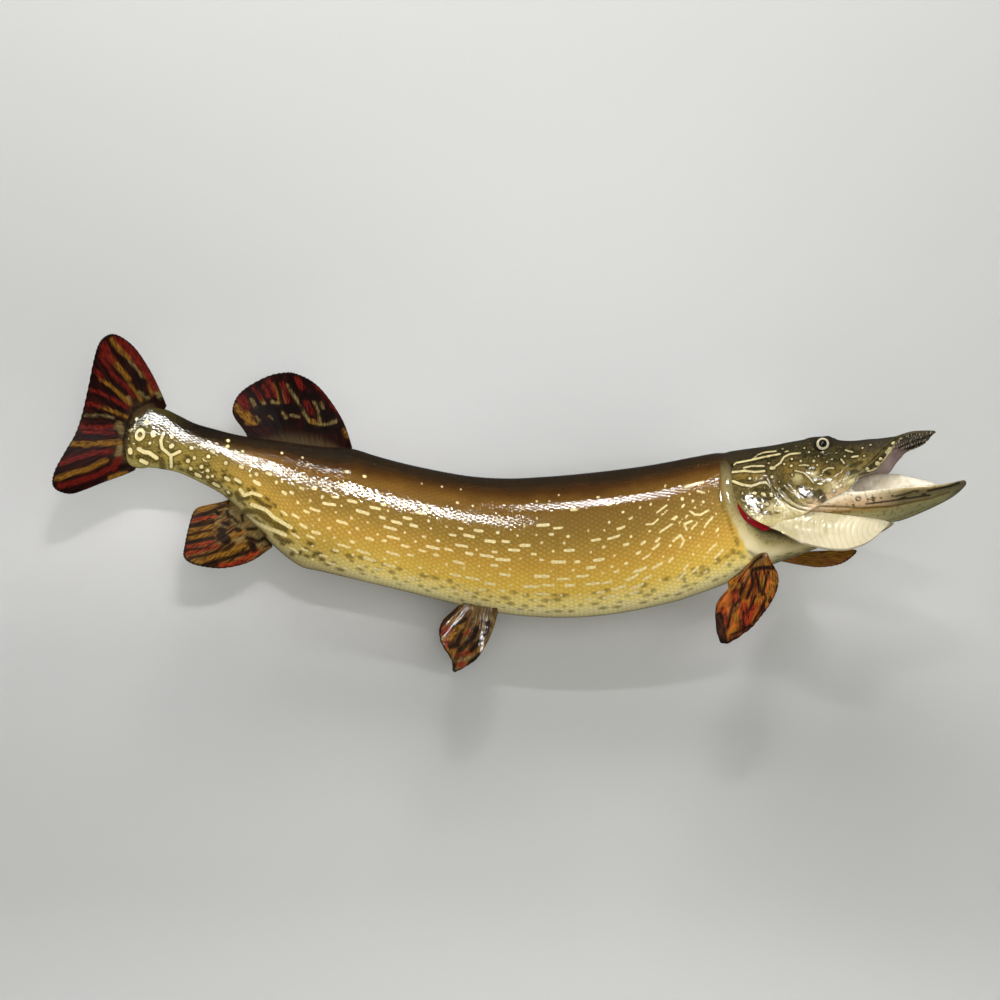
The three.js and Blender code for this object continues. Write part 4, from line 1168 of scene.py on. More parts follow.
HEAD_GROOVES = [ # depth, half-width, path
    (1.5, 1.0, [(52, 13.8), (57, 6.4), (63, -2.1), (69, -8.7), (77, -14.4), (84, -17)]),
    (1.4, 0.9, [(62, 8.4), (68, 1.9), (73, -5.1), (79, -11.2), (85, -13.4), (89, -10.8)]),
    (0.6, 0.9, [(53, 13), (51, 22), (50, 34), (53, 46)]),
    (0.9, 1.0, [(133, 6), (144, 12.9), (156, 20.8), (169, 30.7), (179, 36.5), (190, 40)]),
    (0.5, 0.8, [(84, 44), (96, 38), (106, 35), (118, 37), (126, 42)]),
    (0.5, 0.8, [(94, 22), (104, 14), (112, 4), (114, -4)]),
]
HEAD_SWELLS = [ # height, half-width, path
    (1.4, 3.0, [(66, 11), (74, 2), (82, -7)]),
    (1.0, 2.4, [(60, 4), (67, -5), (75, -12)]),
    (1.0, 6.0, [(92, 12), (104, 6)]),
    (0.9, 5.0, [(78, 28), (92, 24)]),
    (0.9, 2.4, [(140, 8), (150, 13), (162, 20), (173, 29), (183, 35)]),
    (0.8, 1.8, [(79, 25), (88, 20.8), (93, 14.4), (96, 8.9)]),
    (0.35, 1.2, [(13, 29.4), (23, 23), (33, 19.1), (42, 20.2), (48, 19.7), (52, 14.7)]),
    (0.3, 1.1, [(18, 47.7), (35, 46.6), (48, 46.9), (65, 46.5)]),
    (0.3, 1.1, [(60, 34.2), (69, 42.1), (75, 44), (86, 42.8)]),
    (0.7, 4.0, [(118, 12), (128, 18)]),
]
BROW = [(92, 57.5), (100, 58), (108, 57.5), (117, 54.5)]
NOSTRILS = [(121.5, 13.0, 1.5), (126.0, 12.0, 1.1)] # s, l, radius
HEAD_ROWS, HEAD_ARC = 142, 119
HEAD_POWER = 0.8
HEAD_CROWDED, JAW_CROWDED = 1.12, 1.15 # powers that crowd the rows toward the tips
NAPE = 64.5 # height of the crown where the gill cover's rear edge reaches it
COVER_WALL, CROWN_WALL = 2.6, 3.2
HEAD_CORE, JAW_CORE = 10, -12 # heights of points within


def cheek_reach(s, h):
    """Half-width of the head: the cheek, and the gill cover's flare below the nape."""
    return curve(CHEEK, s) + curve(COVER_FLARE, s) * ease(59, 42, h)


def lip(width):
    """The lip's width where the snout or the jaw has this half-width."""
    return np.minimum(LIP, LIP_SHARE * width)


def head_relief(s, l, h):
    """How far the head's skin stands out of its plain form, and how deep its hollows are."""
    out, hollow = np.zeros_like(s), np.zeros_like(s)
    for depth, half, path in HEAD_GROOVES:
        cut = bell(gap_to(path, s, h), half)
        out, hollow = out - depth * cut, np.maximum(hollow, cut * min(depth, 1))
    for height, half, path in HEAD_SWELLS:
        out = out + height * bell(gap_to(path, s, h), half)
    for at, aside, radius in NOSTRILS:
        pit = bell(np.hypot(s - at, np.abs(l) - aside), radius) * (h > 35)
        out, hollow = out - 1.6 * pit, np.maximum(hollow, pit)
    # The socket is a raised ring round a pit.
    ring = np.hypot(s - EYE["s"], (h - EYE["h"]) * 1.05)
    socket = 2.0 * bell(ring - 8.6, 1.5) - 2.4 * ease(7.0, 4.4, ring)
    brow = 1.3 * bell(gap_to(BROW, s, h), 2.8)
    seen = (np.abs(l) > 8) & (h > 25)
    return out + np.where(seen, socket + brow, 0), hollow


def head_faces():
    """The upper head as one hood, from the gill cover's rear edge to the snout, with its lining.

    Outside, a section is an arch: l is the half-width times a power of the cosine, h climbs from
    the rim to the crown by the same power of the sine. Its rows start on the gill cover's edge,
    whose s depends on h. Inside, the arch is a little smaller, and it becomes the palate where the
    mouth starts.
    """
    turn = np.linspace(0, np.pi, HEAD_ARC)[None]
    u = np.linspace(0, 1, HEAD_ROWS)[:, None]
    arc = np.sin(turn) ** HEAD_POWER
    rear = curve(COVER_EDGE, curve(HOOD_RIM, 0.0) + arc * (NAPE - curve(HOOD_RIM, 0.0)))
    s = HEAD_TIP - (HEAD_TIP - rear) * (1 - u) ** HEAD_CROWDED
    rim, crown = curve(HOOD_RIM, s), curve(CROWN, s)
    h = rim + (crown - rim) * arc
    width = cheek_reach(s, h)
    l = width * squared(np.cos(turn), HEAD_POWER)
    tilt = curve(SNOUT_TILT, s)
    rise = np.clip((h - rim) / (crown - rim), 0, 1)
    marked, h = h + tilt * np.abs(l), h + tilt * l
    sink = 2.6 * ease(9, -6, s) * ease(46, 56, h) # the nape goes under the trunk's skin
    grid = place(s, l, h)
    out, hollow = head_relief(s, l, marked)
    front = grid + outward(grid, place(s, 0, HEAD_CORE)) * (out - sink)[..., None]
    pale = stroke_depth(HEAD_PALE, s, marked)
    fields = {
        "rise": rise,
        "along": s * MM,
        "pale": np.where(np.abs(l) > 6, pale, OUTSIDE),
        "dark": stroke_depth(HEAD_DARK, s, marked),
        # hollow also darkens the head's paint in its grooves and nostrils, as painted shade.
        "hollow": hollow,
        "low": np.zeros_like(s),
        **{key: tint(rows, s, marked) for key, rows in HEAD_TINTS.items()},
    }
    wall = np.where(s < MOUTH_BACK, COVER_WALL, lip(curve(CHEEK, s)))
    into_mouth = ease(MOUTH_BACK - 5, MOUTH_BACK, s)
    power = HEAD_POWER + (1 - HEAD_POWER) * into_mouth
    roof = (crown - CROWN_WALL - rim) * (1 - into_mouth) + (curve(PALATE, s) - rim) * into_mouth
    l_in = (width - wall) * squared(np.cos(turn), power)
    h_in = rim + roof * np.sin(turn) ** power + tilt * l_in
    pads = ease(165, 185, s) * ease(216, 208, s) # the palate's three ridges swell here
    ridges = (0.5 + 1.7 * pads) * bell(np.abs(l_in) - 9, 2.6) + (0.4 + 1.2 * pads) * bell(l_in, 2.0)
    return front, place(s, l_in, h_in - ridges * into_mouth), fields


JAW_GROOVE = [(84, -14.7), (100, -15.9), (118, -20), (136, -24.6), (166, -28.6), (205, -27.4), (222, -24.4)]
JAW_ROWS, JAW_ARC = 112, 73
JAW_POWER = 0.85


def jaw_faces():
    """The lower jaw: a trough whose outside runs from rim to chin and whose inside is its floor."""
    turn = np.linspace(0, np.pi, JAW_ARC)[None]
    u = np.linspace(0, 1, JAW_ROWS)[:, None]
    s = JAW_TIP - (JAW_TIP - JAW_FROM) * (1 - u) ** JAW_CROWDED + 0 * turn
    rim, chin, width = curve(JAW_RIM, s), curve(CHIN, s), curve(JAW_WIDTH, s)
    arc = np.sin(turn) ** JAW_POWER
    tucked = ease(131, 120, s) * (1 - np.sin(turn)) ** 4
    l = (width - 1.1 * tucked) * squared(np.cos(turn), JAW_POWER)
    h = rim + (chin - rim) * arc + 3.0 * tucked
    cut = bell(gap_to(JAW_GROOVE, s, h), 1.1) * ease(90, 100, s)
    under = bell(np.abs(l) - 9, 1.4) * ease(-22, -30, h) * ease(215, 190, s)
    swell = 0.8 * bell(h - rim + 2.2, 1.8) * ease(126, 136, s)
    pores, dark = np.zeros_like(s), stroke_depth(JAW_DARK, s, h)
    for at, high, radius in JAW_RINGS:
        gap = np.hypot(s - at, h - high)
        pores = np.maximum(pores, bell(gap, 0.6 * radius))
        dark = np.maximum(dark, 0.7 - np.abs(gap - radius))
    grid = place(s, l, h)
    relief = swell - 1.1 * cut - 0.8 * under - 0.9 * pores
    front = grid + outward(grid, place(s, 0, JAW_CORE)) * relief[..., None]
    fields = {
        "rise": np.clip(1 - (h - rim) / (chin - rim), 0, 1),
        "along": s * MM,
        "dark": dark,
        # hollow darkens the jaw's paint in its groove and its under-chin channel, as painted shade.
        "hollow": np.maximum(cut, 0.6 * under),
        "low": np.ones_like(s),
    }
    h_in = rim + (curve(JAW_FLOOR, s) - rim) * np.sin(turn)
    return front, place(s, (width - lip(width)) * np.cos(turn), h_in), fields


def lined(faces, outer, arc):
    """A closed shell from two faces, as two patches: the lining's faces use the first's points.

    arc is the count of points round each face, and outer the finish outside.
    """
    front, back, fields = faces
    bare = {key: np.zeros_like(value) for key, value in fields.items()}
    bare["along"], bare["low"] = fields["along"], fields["low"]
    rings = np.concatenate([front, back[:, ::-1]], 1)
    both = {key: np.concatenate([fields[key], bare[key][:, ::-1]], 1) for key in fields}
    whole = shell(rings, both, outer)
    lining = (np.mod(whole.quads, rings.shape[1]) >= arc).all(1)
    none = {key: np.empty(0) for key in fields}
    inside = whole.quads[lining] - len(whole.points)
    return (
        whole._replace(quads=whole.quads[~lining]),
        Patch(np.empty((0, 3)), inside, whole.tris[:0], none, LINING),
    )


MEMBRANE_GRID = (190, 26)
MEMBRANE_RIBS, MEMBRANE_WAVES = 21, 7
CORNER_GRID = (16, 12)
CORNER_THICK = 1.0


def membrane_patch(side):
    """A throat membrane: a slab between its root line and its free edge, ribbed from root to edge.

    Each rib is a ridge of even share along both lines that leans back toward the edge.
    """
    edge = MEMBRANE_EDGE if side > 0 else part_way(MEMBRANE_ROOT, MEMBRANE_EDGE, MEMBRANE_TUCK)
    u, v = even(MEMBRANE_GRID)
    s, l, h = between(sided(MEMBRANE_ROOT, side), sided(edge, side), u, v)
    tuck = (1 - v) ** 3
    bulge = 2.4 * np.sin(np.pi * v) * np.sin(np.pi * u)
    wave = 0.9 * np.sin(2 * np.pi * MEMBRANE_WAVES * u) * v ** 4 * np.sin(np.pi * u)
    l = l + side * (bulge + wave - 1.6 * tuck * np.sin(np.pi * u))
    h = h + 2.2 * tuck * np.sin(np.pi * u)
    rib = np.abs(np.cos(np.pi * MEMBRANE_RIBS * (u + 0.05 * np.sin(np.pi * v) - 0.06 * v)))
    thick = 0.9 + 0.9 * rib * np.sin(np.pi * np.clip(v * 1.05, 0, 1)) + 0.5 * bell(v - 1, 0.05)
    return thickened(place(s, l, h), thick, {"rise": 1 - v, "rear": 1 - u, "rib": rib}, MEMBRANE)


def corner_patch(side):
    """The fold of skin that closes the corner of the mouth, hollowed toward the throat."""
    u, v = even(CORNER_GRID)
    s, l, h = between(sided(MOUTH_CORNER_UPPER, side), sided(MOUTH_CORNER_LOWER, side), u, v)
    hollow = np.sin(np.pi * v) * u
    grid = place(s - 6 * hollow, l - side * 1.4 * hollow, h)
    return thickened(grid, CORNER_THICK, {"low": np.ones_like(u), "along": s * MM}, LINING)


FLESH = (
    "head", "lower_jaw", "throat", "gill_cover_right", "gill_cover_left",
    "throat_membrane_right", "throat_membrane_left",
    "trunk_front", "trunk_middle", "trunk_rear", "tail_stalk",
)


def make_skin(look):
    patches = [
        trunk_patch(),
        *lined(head_faces(), HEAD, HEAD_ARC),
        *lined(jaw_faces(), JAW, JAW_ARC),
        *(membrane_patch(side) for side in (1, -1)),
        *(corner_patch(side) for side in (1, -1)),
    ]
    materials = [
        finish("pike hide", hide_paint, look, **VARNISH),
        finish("pike head", head_paint, **VARNISH),
        finish("pike jaw", jaw_paint, **VARNISH),
        finish("pike membrane", membrane_paint, **VARNISH),
        finish("pike mouth lining", lining_paint, **VARNISH),
    ]
    build("skin", patches, materials, FLESH, sharp=50)


# ---------------------------------------------------------------- scales
SCALE_BANDS = [ # name, from, to, count round, pitch
    ("scales_shoulder", -185, 12, 80, 4.5),
    ("scales_middle", -377.5, -185, 80, 4.5),
    ("scales_rear", -545, -377.5, 66, 4.2),
    ("scales_stalk", -648, -545, 38, 3.6),
]
SCALE_WAY = np.array([0.0, 0.46, 0.64, 0.8, 0.93, 1.0]) # rows from its root to its free edge
SCALE_WIDE = np.array([0.6, 1.0, 0.97, 0.82, 0.55, 0.2]) # half-width at each row, as a share
SCALE_ACROSS = np.linspace(-1, 1, 5)
SCALE_HALF = 0.62 # half-width of a scale, in shares of the room it has round the girth
SCALE_LAP = 1.95 # length of a scale, in pitches
SCALE_LIFT = (-0.3, 0.26) # height over the skin of its root and of its free edge
SCALE_CUP = 0.16
SCALE_END = -655.5
BAKE_PATCH = 0.003 # size of a scale on the map for baking
BAKE_LENGTH, BAKE_START = 680, 660 # the map's length and start along the body
BAKE_GIRTH, BAKE_EDGE = 0.99, 0.004 # the map's share for the girth, and its margin


def scale_faces():
    """The faces of one scale: its grid, a floor from side to side, and its two closed ends."""
    index = numbered(len(SCALE_WAY), len(SCALE_ACROSS))
    floor = np.stack([index[:-1, 0], index[1:, 0], index[1:, -1], index[:-1, -1]], -1)
    root = [[0, 4, 3], [0, 3, 1], [1, 3, 2]]
    tip = np.array([[0, 3, 4], [0, 1, 3], [1, 2, 3]]) + index[-1, 0]
    return np.vstack([net(index), floor]), np.vstack([root, tip])


def scale_band(name, start, end, around, pitch, material):
    """One band of overlapping scales, each laid on the hide from its root toward the tail.

    Column after column is set half a scale round. A scale's point lies at its root's s less its
    way along, at its root's share plus its way across, and lifts from root to free edge.
    """
    draw = np.random.default_rng(SEED + around)
    columns = np.arange(start, end, pitch)
    column, slot_at = np.meshgrid(np.arange(len(columns)), np.arange(around), indexing="ij")
    root_s = columns[column].ravel() + pitch * SCALE_LAP / 2
    root_share = ((slot_at + 0.5 * (column % 2)) / around).ravel()
    _, root_h = hide(root_s, root_share)
    kept = root_s < curve(COLLAR, root_h)
    root_s, root_share = root_s[kept, None], root_share[kept, None]
    girth = GIRTH.at(root_s)
    half = girth / around * SCALE_HALF
    way = np.repeat(SCALE_WAY, len(SCALE_ACROSS))[None]
    across = (SCALE_WIDE[:, None] * SCALE_ACROSS[None]).ravel()[None]
    tone = draw.random(root_s.shape)
    bowed = way - 0.1 * across ** 2 * way
    s = root_s - bowed * pitch * SCALE_LAP * (0.97 + 0.06 * draw.random(root_s.shape))
    s = np.maximum(s, SCALE_END)
    share = root_share + across * (half / girth)
    low, high = SCALE_LIFT
    l, h = hide(s, share, low + (high - low) * way - SCALE_CUP * across ** 2 + 0.05 * (tone - 0.5))
    fields = hide_fields(s, share, h)
    rim = np.hypot(across, np.maximum(way - 0.55, 0) / 0.45)
    fields["edge"] = np.broadcast_to(np.minimum(rim, 1), s.shape)
    fields["tone"] = np.broadcast_to(tone, s.shape)
    patch = copies(place(s, l, h), *scale_faces(), fields)
    across_map = (root_s + BAKE_START) / BAKE_LENGTH - (way - 0.5) * BAKE_PATCH
    up_map = np.mod(root_share, 1) * BAKE_GIRTH + BAKE_EDGE + across * BAKE_PATCH / 2
    uv = np.stack([across_map.ravel(), up_map.ravel()], -1)
    build(name, [patch], [material], sharp=60, uv=("OFBake", uv))


# ---------------------------------------------------------------- eyes, mouth, teeth and gills
GAZE = (0.3, 0.94, 0.1) # forward, outward and upward parts of the line of sight
TONGUE_GRID = (72, 41)
EYE_RINGS = 40
EYE_SUNK = 0.1 # how much smaller the glass is than its solid


def make_eyes():
    """Glass eyes: balls set in the skull, with their rings centred on the line of sight."""
    glass = finish("pike eye", eye_paint, Roughness=0.12, Coat_Weight=1.0, Coat_Roughness=0.01)
    for name, side in SIDES:
        at = np.array(EYE["s"])
        forward, right, up = axes(at)
        middle = place(at, side * EYE["side"], EYE["h"])
        pole = GAZE[0] * forward + GAZE[1] * side * right + GAZE[2] * up
        eye = ball(middle, pole, EYE["radius"] - EYE_SUNK, EYE_RINGS)
        build("glass_eye_" + name, [eye], [glass], ("eye_" + name,))


def tongue_patch():
    """The tongue: an arch on a flat underside, with a furrow down its middle."""
    rows, arc = TONGUE_GRID
    turn = np.linspace(0, np.pi, arc)[None]
    s = np.linspace(TONGUE[0][0], TONGUE[-1][0], rows)[:, None] + 0 * turn
    top, half = np.moveaxis(curve(TONGUE, s), -1, 0)
    high = (top - TONGUE_UNDERSIDE) * np.sin(turn) ** 0.7
    furrow = 0.9 * bell(np.cos(turn), 0.16) * ease(120, 135, s) * ease(208, 190, s)
    l = half * np.cos(turn)
    front = place(s, l, TONGUE_UNDERSIDE + high - furrow)
    back = place(s, l, TONGUE_UNDERSIDE + 0 * high - 0.5)
    return two_faced(front, back, {"low": np.ones_like(s), "along": s * MM})


TOOTH_RISE = np.array([0.0, 0.35, 0.7, 1.0])[None, :, None] # heights of a tooth's rings, as shares
TOOTH_WIDE = np.array([1.0, 0.74, 0.4, 0.03])[None, :, None] # and their widths
TOOTH_SIDES = 6
TOOTH_SUNK = 0.15


def cone_teeth(s, l, h, toward, length, lean):
    """Teeth as curved cones of six sides: a ring that narrows to a point, bent back by lean."""
    s, l, h, length = (value[:, None, None] for value in (s, l, h, length))
    turn = np.arange(TOOTH_SIDES) * 2 * np.pi / TOOTH_SIDES
    radius = (0.2 * length + 0.1) * TOOTH_WIDE
    ring_s = radius * np.cos(turn) - lean * length * TOOTH_RISE ** 2
    ring_h = toward * length * (TOOTH_RISE - TOOTH_SUNK) + 0 * turn
    points = place(s + ring_s, l + radius * np.sin(turn), h + ring_h)
    rows = TOOTH_RISE.size
    each = rows * TOOTH_SIDES
    base = np.array([[0, 1, 2, 3], [0, 3, 4, 5]])
    quads = np.vstack([belts(numbered(rows, TOOTH_SIDES)), base[:, ::-1], base + each - TOOTH_SIDES])
    return copies(points.reshape(-1, each, 3), quads, np.empty((0, 3), int), {})


def make_mouth():
    """The tongue, a row of teeth along each lip, and fine teeth on the palate."""
    lining = finish("pike tongue", lining_paint, **VARNISH)
    build("tongue_surface", [tongue_patch()], [lining], ("tongue",))
    bone = finish("pike teeth", bone_paint, Roughness=0.3, Coat_Weight=0.6, Coat_Roughness=0.1)
    draw = np.random.default_rng(SEED)

    def spaced(first, last, count, stray):
        return np.linspace(first, last, count) + draw.uniform(-stray, stray, count)

    rows = [] # s, l, h, up or down, length and lean of each row
    for _, side in SIDES:
        upper = spaced(176, 214, 13, 0.8)
        l = side * (curve(CHEEK, upper) - lip(curve(CHEEK, upper)) / 2)
        h = curve(HOOD_RIM, upper) + curve(SNOUT_TILT, upper) * l
        rows.append((upper, l, h + 0.2, -1, 2.6, 0.3))
        lower = spaced(140, 226, 17, 1.2)
        l = side * (curve(JAW_WIDTH, lower) - lip(curve(JAW_WIDTH, lower)) / 2)
        rows.append((lower, l, curve(JAW_RIM, lower) - 0.2, 1, 2.3, 0.4))
        palate = spaced(150, 206, 26, 0.6)
        aside = spaced(7, 7, 26, 1.2)
        arch = np.sqrt(np.maximum(1 - (aside / (curve(CHEEK, palate) - LIP)) ** 2, 0))
        high = curve(HOOD_RIM, palate) + (curve(PALATE, palate) - curve(HOOD_RIM, palate)) * arch
        high = high + curve(SNOUT_TILT, palate) * side * aside - 1.6
        rows.append((palate, side * aside, high, -1, 1.9, 0.6))
    patches = [
        cone_teeth(s, l, h, toward, length * draw.uniform(0.55, 1.35, len(s)), lean)
        for s, l, h, toward, length, lean in rows
    ]
    build("teeth_rows", patches, [bone], sharp=40)


GILL_GRID = (260, 9)
GILL_FILAMENTS = 52


def make_gills():
    """Gills: slabs behind each gill opening, combed into filaments."""
    red = finish("pike gills", gill_paint, **VARNISH)
    for name, side in SIDES:
        u, v = even(GILL_GRID)
        s, l, h = between(sided(GILL_REAR, side), sided(GILL_FRONT, side), u, v)
        comb = np.abs(np.sin(np.pi * GILL_FILAMENTS * u))
        grid = place(s, l - side * 1.2 * (1 - comb), h)
        slab = thickened(grid, 1.6 + 1.4 * comb, {"ridge": comb})
        build("gill_filaments_" + name, [slab], [red], ("gills_" + name,))


# ---------------------------------------------------------------- fins
class Fin(NamedTuple):
    """A fin: its piece and solid, marks, root and margin lines, rays, and its shape sideways.

    It cups to one side, ripples, and is fleshy at its root, each by so many millimetres.
    """
    name: str
    node: str
    marks: str
    root: list
    margin: list
    rays: int
    cup: float
    ripple: float
    flesh: float


